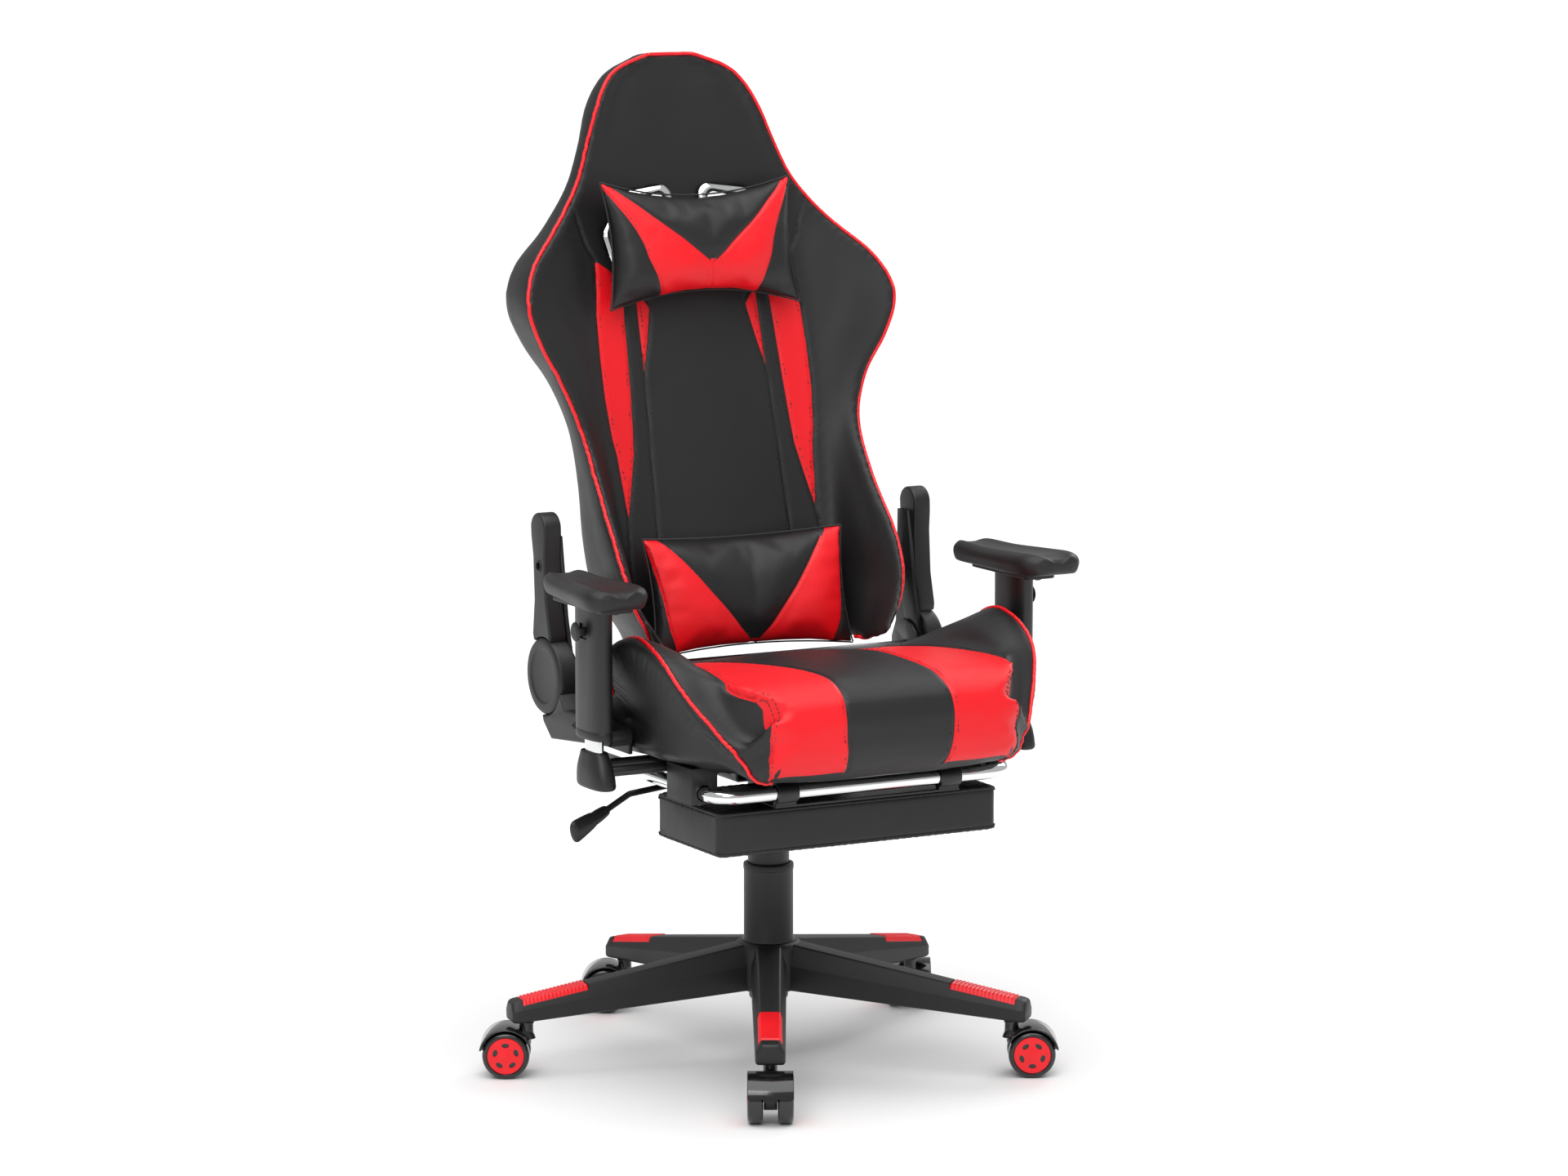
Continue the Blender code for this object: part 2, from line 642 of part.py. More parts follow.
def build_seat(chair):
    chair.pivot("seat", "mechanism", (0, ROCK_Y, ROCK_Z))
    low, top = plate_bottom(), plate_bottom() + PLATE_THICK
    flange = BOX_HALF_WIDTH + 0.0025
    half = flange + PLATE_THICK
    plate = chair.add("seat_plate", block("seat_plate", (-half, -0.12, low), (half, 0.09, top)),
                      "black steel", "seat")
    for _, side in sides():
        ends = sorted((side * flange, side * half))
        ear = block("ear", (ends[0], ROCK_Y - 0.022, ROCK_Z - 0.009), (ends[1], ROCK_Y + 0.022, top - 0.001))
        chair.join(plate, ear)
    reach = half + 0.003
    chair.join(plate, rod("rock_pin", (-reach, ROCK_Y, ROCK_Z), (reach, ROCK_Y, ROCK_Z), PIN_RADIUS))

    bottom = board_bottom()
    board = block("seat_board", (-BOARD_HALF_WIDTH, BOARD_FRONT, bottom),
                  (BOARD_HALF_WIDTH, BOARD_REAR, bottom + BOARD_THICK))
    bevel(chair.add("seat_board", board, "plywood", "seat"), 0.003, 1)

    cushion = chair.add("seat_cushion", loft("seat_cushion", seat_rings()), "black leather", "seat")
    gap = TOUCH + 0.0002
    chair.cut(cushion, block("board_pocket", (-BOARD_HALF_WIDTH - gap, BOARD_FRONT - gap, bottom - 0.03),
                             (BOARD_HALF_WIDTH + gap, BOARD_REAR + gap, bottom + BOARD_THICK + gap)))


# The seat from front to rear: Y, share of half width at the crest, height of the crest above the
# underside, half width of the underside, half width just above it, half width of the middle panel,
# height of the middle, and how far the underside lies above the board's
SEAT_ROWS = (
    (-0.343, 0.50, 0.058, 0.140, 0.143, 0.110, 0.064, 0.0300),
    (-0.332, 0.62, 0.078, 0.158, 0.163, 0.150, 0.090, 0.0060),
    (-0.300, 0.735, 0.045, 0.178, 0.196, 0.185, 0.107, -0.0095),
    (-0.264, 0.85, 0.080, 0.200, 0.222, 0.190, 0.1115, 0.0),
    (-0.225, 0.92, 0.127, 0.215, 0.240, 0.190, 0.1125, 0.0),
    (-0.165, 0.97, 0.151, 0.228, 0.250, 0.180, 0.1110, 0.0),
    (-0.110, 1.00, 0.149, 0.234, 0.2425, 0.170, 0.1070, 0.0),
    (-0.030, 0.935, 0.106, 0.236, 0.2425, 0.160, 0.0960, 0.0),
    (0.020, 0.865, 0.082, 0.232, 0.2400, 0.150, 0.0830, 0.0),
    (0.054, 0.81, 0.064, 0.214, 0.220, 0.141, 0.0800, 0.0),
    (0.070, 0.78, 0.059, 0.207, 0.213, 0.138, 0.0645, 0.0),
    (0.115, 0.70, 0.048, 0.185, 0.190, 0.130, 0.0580, 0.0),
)


def seat_rings():
    """Cross-sections of the bucket seat, in planes across Y."""
    base = board_bottom() + 0.0005
    rings = []
    for y, share, crest, under, side, flat, middle, foot in SEAT_ROWS:
        edge = SEAT_HALF_WIDTH * share
        inner = max(crest - middle, 0.0)
        slope = middle + 0.60 * inner if inner else middle - 0.006
        half = [
            (under, foot), (side, 0.044 if crest > 0.05 else 0.030), (edge, crest - 0.022),
            (edge - 0.004, crest - 0.004), (edge - 0.026, crest), ((flat + edge - 0.03) / 2, slope),
            (flat - 0.01, middle),
        ]
        ring = [(0.0, y, base + foot)] + [(x, y, base + z) for x, z in half]
        ring.append((0.0, y, base + middle + 0.003))
        ring += [(-x, y, base + z) for x, z in reversed(half)]
        rings.append(ring)
    return rings


# ---- recliner --------------------------------------------------------------------------------------


def slab_x(name, outline, side, near, far):
    """An outline in Y and Z, pushed from near to far from the middle on one side of the chair."""
    return extruded(name, outline, "X", *sorted((side * near, side * far)))


def shaft_bore(near, far, side, clearance):
    return rod("shaft_bore", (side * near, RECLINE_Y, RECLINE_Z), (side * far, RECLINE_Y, RECLINE_Z),
               SHAFT_RADIUS + clearance, 16)


def build_recliner(chair):
    hub = (RECLINE_Y, RECLINE_Z)
    bracket_out = BRACKET_X + BRACKET_THICK
    foot_low, foot_high = plate_bottom(), plate_bottom() + PLATE_THICK
    ledge = foot_high + 0.0025
    lower_plate = [(-0.100, ledge), (RECLINE_Y + 0.012, ledge)] + arc(hub, 0.034, -40, 200, 9)
    lower_plate += [(RECLINE_Y - 0.055, 0.462), (-0.100, 0.455)]
    cover_low = [(-0.106, 0.444), (RECLINE_Y - 0.022, 0.4285), (RECLINE_Y, 0.447)]
    cover_low += arc(hub, DISC_RADIUS + 0.0006, 274, 200, 6)
    cover_low += [(RECLINE_Y - 0.062, 0.471), (-0.106, 0.467), (-0.114, 0.456)]
    lean = (0.0945 - RECLINE_Y) / (UPPER_COVER_END - RECLINE_Z)

    def arm(height, offset):
        return (RECLINE_Y + lean * (height - RECLINE_Z) + offset, height)

    top = UPPER_COVER_END
    cover_high = [arm(0.560, -0.024), arm(0.600, -0.0165), arm(0.655, -0.0165), arm(top - 0.030, -0.0205)]
    cover_high += arc(arm(top - 0.0205, 0), 0.0205, 165, 15, 6)
    cover_high += [arm(top - 0.030, 0.0205), arm(0.655, 0.0165), arm(0.600, 0.0175), arm(0.556, 0.026)]
    cover_high += arc(hub, DISC_RADIUS + 0.0006, 58, 112, 4)

    chair.pivot("back", "seat", (0, RECLINE_Y, RECLINE_Z))
    for label, side in sides():
        bracket = slab_x(f"lower_bracket_{label}", lower_plate, side, BRACKET_X, bracket_out)
        bracket = chair.add(f"lower_bracket_{label}", bracket, "black steel", "seat")
        foot = block("foot", (min(side * 0.12, side * bracket_out), 0.020, foot_low),
                     (max(side * 0.12, side * bracket_out), 0.080, foot_high))
        chair.join(bracket, foot)
        riser = block("riser", (min(side * BRACKET_X, side * bracket_out), 0.020, foot_low + 0.0005),
                      (max(side * BRACKET_X, side * bracket_out), 0.080, ledge + 0.004))
        chair.join(bracket, riser)
        chair.cut(bracket, shaft_bore(0.22, 0.26, side, RUN))

        cover = slab_x(f"lower_cover_{label}", cover_low, side, bracket_out + 2 * TOUCH, COVER_OUTER_X)
        bevel(chair.add(f"lower_cover_{label}", cover, "black nylon", "seat"), 0.003, 1)

        near = bracket_out + BRACKET_THICK + 3 * TOUCH
        cover = slab_x(f"upper_cover_{label}", cover_high, side, near, COVER_OUTER_X)
        cover = bevel(chair.add(f"upper_cover_{label}", cover, "black nylon", "back"), 0.003, 1)
        hole = arm(0.644, 0.0)
        chair.cut(cover, rod("screw_recess", (side * (COVER_OUTER_X - 0.008), *hole),
                             (side * (COVER_OUTER_X + 0.01), *hole), 0.005, 12))

        lay = Matrix.Translation((0, RECLINE_Y, RECLINE_Z)) @ Matrix.Rotation(side * math.pi / 2, 4, "Y")
        face = COVER_OUTER_X
        disc = turned(f"recliner_disc_{label}", [
            (0.0, face - 0.0015), (DISC_RADIUS - 0.016, face - 0.0015), (DISC_RADIUS - 0.013, face),
            (DISC_RADIUS - 0.004, face), (DISC_RADIUS, face - 0.004), (DISC_RADIUS, near), (0.0, near),
        ], ROUND_SIDES, lay)
        disc = chair.add(f"recliner_disc_{label}", disc, "black nylon", "back")
        chair.cut(disc, shaft_bore(0.24, COVER_OUTER_X - 0.0115, side, TOUCH))

    reach = COVER_OUTER_X - 0.012
    shaft = rod("recliner_shaft", (-reach, RECLINE_Y, RECLINE_Z), (reach, RECLINE_Y, RECLINE_Z), SHAFT_RADIUS)
    chair.add("recliner_shaft", shaft, "grey steel", "back")

    chair.pivot("recline_release", "seat", (COVER_OUTER_X, RECLINE_Y, RECLINE_Z))
    near = COVER_OUTER_X + TOUCH * 2
    boss = arc(hub, 0.015, 150, -130, 10)
    handle = boss + [(RECLINE_Y - 0.060, RECLINE_Z - 0.026), (RECLINE_Y - 0.118, RECLINE_Z - 0.030),
                     (RECLINE_Y - 0.126, RECLINE_Z - 0.020), (RECLINE_Y - 0.118, RECLINE_Z - 0.008),
                     (RECLINE_Y - 0.060, RECLINE_Z - 0.006)]
    lever = slab_x("recline_lever", handle, 1, near, near + 0.009)
    bevel(chair.add("recline_lever", lever, "black nylon", "recline_release"), 0.002, 1)


# ---- back ------------------------------------------------------------------------------------------

# The back from bottom to top: share of height, share of half width, depth of the side wings in front
# of the middle, and half width of the flat middle
BACK_ROWS = (
    (-0.0246, 0.600, 0.060, 0.130),
    (0.000, 0.630, 0.105, 0.130),
    (0.075, 0.740, 0.102, 0.140),
    (0.157, 0.763, 0.089, 0.141),
    (0.253, 0.748, 0.054, 0.140),
    (0.349, 0.756, 0.030, 0.138),
    (0.431, 0.830, 0.030, 0.138),
    (0.499, 0.941, 0.042, 0.139),
    (0.570, 1.000, 0.050, 0.139),
    (0.636, 0.933, 0.038, 0.137),
    (0.702, 0.748, 0.017, 0.128),
    (0.769, 0.600, 0.009, 0.110),
    (0.837, 0.519, 0.009, 0.095),
    (0.908, 0.448, 0.012, 0.080),
    (0.964, 0.345, 0.010, 0.060),
    (0.998, 0.160, 0.006, 0.028),
)


def back_front(height):
    """Y of the back's flat middle at a height."""
    return BACK_FOOT_Y + BACK_SLOPE * (height - BACK_BOTTOM)


def back_half_width(height):
    share = (height - BACK_BOTTOM) / BACK_HEIGHT
    return BACK_HALF_WIDTH * spread(BACK_ROWS, share)[0]


def back_rings():
    """Cross-sections of the winged back, in level planes."""
    rings = []
    for share, width, wing, flat in BACK_ROWS:
        z = BACK_BOTTOM + BACK_HEIGHT * share
        front, edge = back_front(z), BACK_HALF_WIDTH * width
        thin = 1.0 if share < 0.95 else 0.72 if share < 0.99 else 0.45
        rear = front + BACK_THICK * thin
        half = [
            (0.62 * edge, rear - 0.003), (edge - 0.014, rear - 0.020 * thin),
            (edge, (rear + front - wing) / 2 - 0.004), (edge - 0.003, front - wing + 0.004),
            (edge - 0.014, front - wing), ((flat + edge) / 2, front - 0.42 * wing), (flat - 0.004, front),
        ]
        ring = [(0.0, rear, z)] + [(x, y, z) for x, y in half] + [(0.0, front, z)]
        ring += [(-x, y, z) for x, y in reversed(half)]
        rings.append(ring)
    return rings


def frame_route():
    """Centre line of the back's bent tube, from the left recliner plate over the top to the right one."""
    foot = BACK_BOTTOM + 0.075 * BACK_HEIGHT
    plate = BRACKET_X + 1.5 * BRACKET_THICK + 2 * TOUCH
    rising = []
    for share, inset in ((0.075, 0.030), (0.25, 0.036), (0.349, 0.040), (0.50, 0.085), (0.60, 0.078),
                         (0.702, 0.036), (0.769, 0.026), (0.837, 0.028), (0.900, 0.032)):
        z = BACK_BOTTOM + share * BACK_HEIGHT
        rising.append((back_half_width(z) - inset, back_front(z) + FRAME_DEPTH, z))
    crown = BACK_BOTTOM + 0.925 * BACK_HEIGHT
    rising.append((0.045, back_front(crown) + FRAME_DEPTH, crown))
    right = [(plate, back_front(foot) + FRAME_DEPTH - 0.02, foot)] + rising
    left = [(-x, y, z) for x, y, z in right]
    return rounded(left + right[::-1], 0.035, 1, closed=False)


def frame_bars():
    """End points of the two cross bars that join the tube's uprights."""
    for share, inset in ((0.20, 0.034), (0.55, 0.085)):
        z = BACK_BOTTOM + share * BACK_HEIGHT
        x, y = back_half_width(z) - inset, back_front(z) + FRAME_DEPTH
        yield (-x, y, z), (x, y, z)


def hole_outline(side, grow):
    """A pass-through hole in X and Z, a rounded leaf shape that narrows towards the middle of the back."""
    foot = BACK_BOTTOM + 0.66 * BACK_HEIGHT
    corners = ((0.029, 0.071), (0.084, 0.057), (0.112, 0.022), (0.106, -0.018), (0.036, 0.026))
    points = rounded([(side * x, foot + z) for x, z in corners], 0.010, 3)
    middle = sum(points, Vector((0, 0))) / len(points)
    return [point + (point - middle).normalized() * grow for point in points]


def through_back(name, side, grow, proud):
    """A hole's outline pushed through the back from its front to its rear, leaning with it."""
    mesh = extruded(name, hole_outline(side, grow), "Y", -proud, BACK_THICK + proud)
    lean = Matrix.Identity(4)
    lean[1][2] = BACK_SLOPE
    lean[1][3] = back_front(0.0)
    mesh.transform(lean)
    return mesh


def build_back(chair):
    cushion = chair.add("back_cushion", loft("back_cushion", back_rings()), "black leather", "back")
    channel = 0.0006
    chair.cut(cushion, tube("frame_channel", frame_route(), FRAME_RADIUS + channel))
    for start, end in frame_bars():
        chair.cut(cushion, rod("bar_channel", start, end, FRAME_RADIUS - 0.001 + channel, 8))
    for label, side in sides():
        chair.cut(cushion, through_back("hole", side, TRIM_BAND + TOUCH, 0.03))
        trim = through_back("trim", side, TRIM_BAND, TRIM_PROUD)
        trim = chair.add(f"hole_trim_{label}", trim, "chrome", "back")
        chair.cut(trim, through_back("opening", side, 0.0, 0.03))

    frame = chair.add("back_frame", tube("back_frame", frame_route(), FRAME_RADIUS), "black steel", "back")
    for start, end in frame_bars():
        chair.join(frame, rod("bar", start, end, FRAME_RADIUS - 0.001, 8))
    foot = BACK_BOTTOM + 0.075 * BACK_HEIGHT
    near = BRACKET_X + BRACKET_THICK + 2 * TOUCH
    hub = (RECLINE_Y, RECLINE_Z)
    outline = arc(hub, 0.034, -200, 20, 9) + [
        (RECLINE_Y + 0.030, foot - 0.02), (RECLINE_Y + 0.028, UPPER_COVER_END - 0.03),
        (RECLINE_Y + 0.002, UPPER_COVER_END - 0.03), (RECLINE_Y - 0.014, foot - 0.02),
    ]
    for _, side in sides():
        chair.join(frame, slab_x("recliner_plate", outline, side, near, near + BRACKET_THICK))
        chair.cut(frame, shaft_bore(0.22, 0.30, side, TOUCH))


def pillow_rings(middle, half_width, half_height, thick, standoff, end_height, end_standoff):
    """Cross-sections of a pillow from one end to the other, leaning with the back."""
    rings = []
    for share in (-1.0, -0.9, -0.6, -0.25, 0.25, 0.6, 0.9, 1.0):
        out = abs(share)
        swell = math.sqrt(max(0.0, 1.0 - out ** 2.2))
        tall = half_height * (1 + end_height * out ** 3)
        deep = max(0.16, swell) * thick
        stand = standoff + end_standoff * out ** 3
        ring = []
        for i in range(12):
            turn = math.tau * (i + 0.5) / 12
            up, forward = math.sin(turn), math.cos(turn)
            z = middle + tall * math.copysign(abs(up) ** 0.8, up)
            depth = stand + deep * (0.5 + 0.5 * math.copysign(abs(forward) ** 0.8, forward))
            ring.append((share * half_width, back_front(z) - depth, z))
        rings.append(ring)
    return rings


def build_pillows(chair):
    neck = pillow_rings(NECK_Z, NECK_HALF_WIDTH, NECK_HALF_HEIGHT, PILLOW_THICK - 0.008, 0.010, 0.14, 0.016)
    chair.add("neck_pillow", loft("neck_pillow", neck), "black leather", "back")
    lumbar = pillow_rings(LUMBAR_Z, LUMBAR_HALF_WIDTH, LUMBAR_HALF_HEIGHT, PILLOW_THICK, 0.003, 0.06, 0.028)
    chair.add("lumbar_pillow", loft("lumbar_pillow", lumbar), "black leather", "back")


# ---- arms ------------------------------------------------------------------------------------------


def outward_block(name, side, reach, half):
    """A block between two distances out from the middle of a sleeve, round the trigger's axis."""
    ends = sorted(side * (ARM_X + distance) for distance in reach)
    return block(name, (ends[0], ARM_Y - half[0], TRIGGER_Z - half[1]),
                 (ends[1], ARM_Y + half[0], TRIGGER_Z + half[1]))


def build_arms(chair):
    for label, side in sides():
        x = side * ARM_X
        body = f"arm_{label}"
        chair.pivot(body, "seat", (x, ARM_Y, SLEEVE_BOTTOM))
        build_arm_mount(chair, label, side)

        cavity = (POST_HALF[0] + RUN, POST_HALF[1] + RUN)
        rings = [oval((x, ARM_Y), SLEEVE_HALF, z) for z in (SLEEVE_BOTTOM, SLEEVE_TOP)]
        sleeve = chair.add(f"arm_sleeve_{label}", loft(f"arm_sleeve_{label}", rings), "black nylon", body)
        rings = [oval((x, ARM_Y), cavity, z) for z in (SLEEVE_BOTTOM - 0.01, SLEEVE_TOP - 0.008)]
        chair.cut(sleeve, loft("post_cavity", rings))
        face = SLEEVE_HALF[0]
        pocket = outward_block("trigger_pocket", side, (face - 0.0028, 0.03), TRIGGER_POCKET)
        chair.cut(sleeve, pocket)

        chair.pivot(f"trigger_{label}", body, (x + side * (face + 0.0005), ARM_Y, TRIGGER_Z))
        stem = outward_block(f"arm_trigger_{label}", side, (face - 0.0010, face + 0.012), TRIGGER_STEM)
        trigger = chair.add(f"arm_trigger_{label}", stem, "black nylon", f"trigger_{label}")
        chair.join(trigger, outward_block("paddle", side, (face + 0.009, face + 0.013), TRIGGER_PADDLE))

        plate_top = SLEEVE_TOP + ARM_PLATE_THICK
        half, front, rear = ARM_PLATE
        chair.join(sleeve, block("pad_plate", (x - half, ARM_Y - front, SLEEVE_TOP - 0.0005),
                                 (x + half, ARM_Y + rear, plate_top)))
        pad_low = plate_top + TOUCH
        chair.add(f"arm_pad_{label}", loft(f"arm_pad_{label}", pad_rings(side, pad_low)), "black foam", body)


def pad_rings(side, low):
    """Cross-sections of an arm pad from its broad front to its slimmer rear."""
    rings = []
    for share, half, rise, droop in (
        (0.00, 0.0160, 0.50, 0.004), (0.04, 0.0330, 0.85, 0.001), (0.13, 0.0425, 1.00, 0.0),
        (0.35, 0.0415, 1.00, 0.0), (0.65, 0.0360, 0.92, 0.0), (0.90, 0.0310, 0.92, 0.0),
        (0.97, 0.0240, 0.80, 0.001), (1.00, 0.0120, 0.50, 0.004),
    ):
        y = PAD_FRONT + share * (PAD_REAR - PAD_FRONT)
        x = side * (ARM_X + 0.009 - 0.016 * share)
        top = low + PAD_THICK * rise
        bottom = low + droop
        edge = bottom + (top - bottom) * 0.55
        outline = ((-0.82 * half, bottom), (0.82 * half, bottom), (half, edge - 0.004), (half, edge + 0.003),
                   (0.80 * half, top - 0.002), (0.0, top), (-0.80 * half, top - 0.002),
                   (-half, edge + 0.003), (-half, edge - 0.004))
        rings.append([(x + across, y, z) for across, z in outline])
    return rings


def build_arm_mount(chair, label, side):
    """The post in its socket, and the bracket of two tubes that holds them out from under the seat."""
    x = side * ARM_X
    post_low = SOCKET_BOTTOM + 0.012
    rings = [oval((x, ARM_Y), POST_HALF, z) for z in (post_low, SLEEVE_TOP - 0.035)]
    chair.add(f"arm_post_{label}", loft(f"arm_post_{label}", rings), "chrome", "seat")

    rings = []
    for share, half in ((0.0, (0.0150, 0.036)), (0.12, (0.0165, 0.038)), (0.55, (0.0160, 0.034)),
                        (0.85, (0.0130, 0.028)), (1.0, (0.0115, 0.025))):
        z = SOCKET_BOTTOM + share * (SOCKET_TOP - SOCKET_BOTTOM)
        rings.append(oval((x, ARM_Y - 0.006 * (1 - share)), half, z))
    socket = chair.add(f"arm_socket_{label}", loft(f"arm_socket_{label}", rings), "black nylon", "seat")
    cavity = (POST_HALF[0] + TOUCH, POST_HALF[1] + TOUCH)
    chair.cut(socket, loft("post_seat", [oval((x, ARM_Y), cavity, z)
                                         for z in (post_low - TOUCH, SOCKET_TOP + 0.01)]))
    inner, outer = side * 0.10, x - side * (POST_HALF[0] + 0.0015)
    bracket = None
    for offset in (-ARM_TUBE_SPREAD, ARM_TUBE_SPREAD):
        y = ARM_Y - 0.005 + offset
        start, end = (inner, y, ARM_TUBE_Z), (outer, y, ARM_TUBE_Z)
        bore_end = (outer + side * TOUCH, y, ARM_TUBE_Z)
        chair.cut(socket, rod("tube_bore", (side * 0.26, y, ARM_TUBE_Z), bore_end,
                              ARM_TUBE_RADIUS + TOUCH, 12))
        if bracket is None:
            mesh = rod(f"arm_bracket_{label}", start, end, ARM_TUBE_RADIUS, 12)
            bracket = chair.add(f"arm_bracket_{label}", mesh, "black steel", "seat")
        else:
            chair.join(bracket, rod("tube", start, end, ARM_TUBE_RADIUS, 12))
    ends = sorted((side * 0.098, side * 0.145))
    chair.join(bracket, block("web", (ends[0], ARM_Y - 0.045, ARM_TUBE_Z - 0.003),
                              (ends[1], ARM_Y + 0.035, ARM_TUBE_Z + 0.003)))


# ---- footrest --------------------------------------------------------------------------------------


def build_footrest(chair):
    chair.pivot("footrest", "seat", (0, RAIL_FRONT, RAIL_Z))
    chair.pivot("footrest_flip", "footrest", (0, RAIL_FRONT, RAIL_Z))
    route = rounded([(-RAIL_X, RAIL_REAR, RAIL_Z), (-RAIL_X, RAIL_FRONT, RAIL_Z),
                     (RAIL_X, RAIL_FRONT, RAIL_Z), (RAIL_X, RAIL_REAR, RAIL_Z)], 0.030, 5, closed=False)
    chair.add("footrest_rail", tube("footrest_rail", route, RAIL_RADIUS, 3), "chrome", "footrest")

    guide_top = board_bottom() - TOUCH - 0.0002
    for label, side in sides():
        x = side * RAIL_X
        guide = block(f"footrest_guide_{label}", (x - 0.018, -0.215, RAIL_Z - RAIL_RADIUS - 0.004),
                      (x + 0.018, -0.150, guide_top))
        guide = chair.add(f"footrest_guide_{label}", guide, "black nylon", "seat")
        chair.cut(guide, rod("rail_bore", (x, -0.23, RAIL_Z), (x, -0.13, RAIL_Z), RAIL_RADIUS + 2 * RUN, 20))

    plate_low = FOOT_PAD_TOP + TOUCH + 0.0002
    plate_high = plate_low + 0.0025
    hinge = chair.add("footrest_hinge", block("footrest_hinge", (-0.13, RAIL_FRONT - 0.004, plate_low),
                                              (0.13, -0.12, plate_high)), "black steel", "footrest_flip")
    for _, side in sides():
        ends = (side * 0.115 - 0.014, side * 0.115 + 0.014)
        chair.join(hinge, block("tab", (ends[0], RAIL_FRONT - 0.004, plate_low + 0.0005),
                                (ends[1], RAIL_FRONT + 0.004, RAIL_Z)))
        chair.join(hinge, rod("loop", (ends[0], RAIL_FRONT, RAIL_Z), (ends[1], RAIL_FRONT, RAIL_Z),
                              RAIL_RADIUS + 0.0035, 20))
    chair.cut(hinge, rod("bar_bore", (-0.15, RAIL_FRONT, RAIL_Z), (0.15, RAIL_FRONT, RAIL_Z),
                         RAIL_RADIUS + 2 * RUN, 20))
    pad = block("footrest_pad", (-FOOT_PAD_HALF_WIDTH, FOOT_PAD_FRONT, FOOT_PAD_BOTTOM),
                (FOOT_PAD_HALF_WIDTH, FOOT_PAD_REAR, FOOT_PAD_TOP))
    bevel(chair.add("footrest_pad", pad, "black leather", "footrest_flip"), 0.012, 2)


def main():
    chair = Chair()
    build_base(chair)
    build_column(chair)
    build_mechanism(chair)
    build_seat(chair)
    build_recliner(chair)
    build_back(chair)
    build_pillows(chair)
    build_arms(chair)
    build_footrest(chair)


main()
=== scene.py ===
"""Upholstery, trim and finishes of a racing-style gaming chair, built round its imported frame.

Lengths are in metres. Pieces are drawn about the column's axis, with the sitter facing -Y, and COLUMN
then moves them into the frame. Left is the -X side.
"""

import json
import math

import bmesh
import bpy
import numpy as np
from bpy.props import FloatProperty, FloatVectorProperty, IntProperty, PointerProperty
from bpy.types import Operator, Panel, PropertyGroup
from mathutils import Matrix, Vector
from mathutils.bvhtree import BVHTree
from mathutils.kdtree import KDTree


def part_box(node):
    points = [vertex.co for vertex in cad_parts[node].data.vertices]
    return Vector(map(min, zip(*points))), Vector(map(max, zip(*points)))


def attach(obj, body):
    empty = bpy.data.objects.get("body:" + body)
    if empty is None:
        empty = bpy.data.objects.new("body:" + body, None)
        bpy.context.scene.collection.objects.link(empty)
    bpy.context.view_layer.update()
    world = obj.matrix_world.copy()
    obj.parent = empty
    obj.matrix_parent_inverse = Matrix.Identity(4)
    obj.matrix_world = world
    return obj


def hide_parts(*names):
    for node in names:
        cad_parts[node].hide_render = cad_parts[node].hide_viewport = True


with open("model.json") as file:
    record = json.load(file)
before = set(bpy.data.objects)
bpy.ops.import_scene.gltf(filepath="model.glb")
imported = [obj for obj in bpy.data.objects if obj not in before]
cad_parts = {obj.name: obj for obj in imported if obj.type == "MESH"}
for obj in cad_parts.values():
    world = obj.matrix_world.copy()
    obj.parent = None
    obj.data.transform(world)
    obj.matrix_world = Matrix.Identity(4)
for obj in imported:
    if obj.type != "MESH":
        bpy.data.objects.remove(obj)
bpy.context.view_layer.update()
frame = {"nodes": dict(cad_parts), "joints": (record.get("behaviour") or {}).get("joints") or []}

bl_info = {
    "name": "Gaming Chair",
    "version": (1, 0, 0),
    "blender": (4, 5, 0),
    "location": "View3D > Sidebar > Gaming Chair",
    "description": "Builds the upholstery, trim and finishes of a racing-style gaming chair",
    "category": "Object",
}

SIDES = (("left", -1), ("right", 1))
LEGS = range(1, 6)
JOINTS = {joint["name"]: joint for joint in frame["joints"]}


def centre_of(node):
    low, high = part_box(node)
    return (low + high) / 2


COLUMN = Vector((centre_of("gas_cylinder").x, centre_of("gas_cylinder").y, 0.0))


def corners_of(node):
    """Lowest and highest corner of a node, measured from the column's axis."""
    low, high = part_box(node)
    return low - COLUMN, high - COLUMN


def axis_of(joint):
    """A hinge's place, measured from the column's axis, and its direction."""
    return Vector(JOINTS[joint]["pos_m"]) - COLUMN, Vector(JOINTS[joint]["axis"]).normalized()


SEAT_LOW, SEAT_HIGH = corners_of("seat_cushion")
BACK_LOW, BACK_HIGH = corners_of("back_cushion")
RECLINE = axis_of("recline")[0]
SEAT_HALF_WIDTH = (SEAT_HIGH.x - SEAT_LOW.x) / 2
BACK_HALF_WIDTH = (BACK_HIGH.x - BACK_LOW.x) / 2
BACK_BOTTOM = 0.545
BACK_HEIGHT = (BACK_HIGH.z - BACK_BOTTOM) / 0.998
SEAT_UNDERSIDE = corners_of("seat_board")[0].z + 0.0005
BACK_FOOT_Y = 0.083
BACK_SLOPE = 0.262
BACK_THICK = 0.060


# ---- finishes --------------------------------------------------------------------------------------


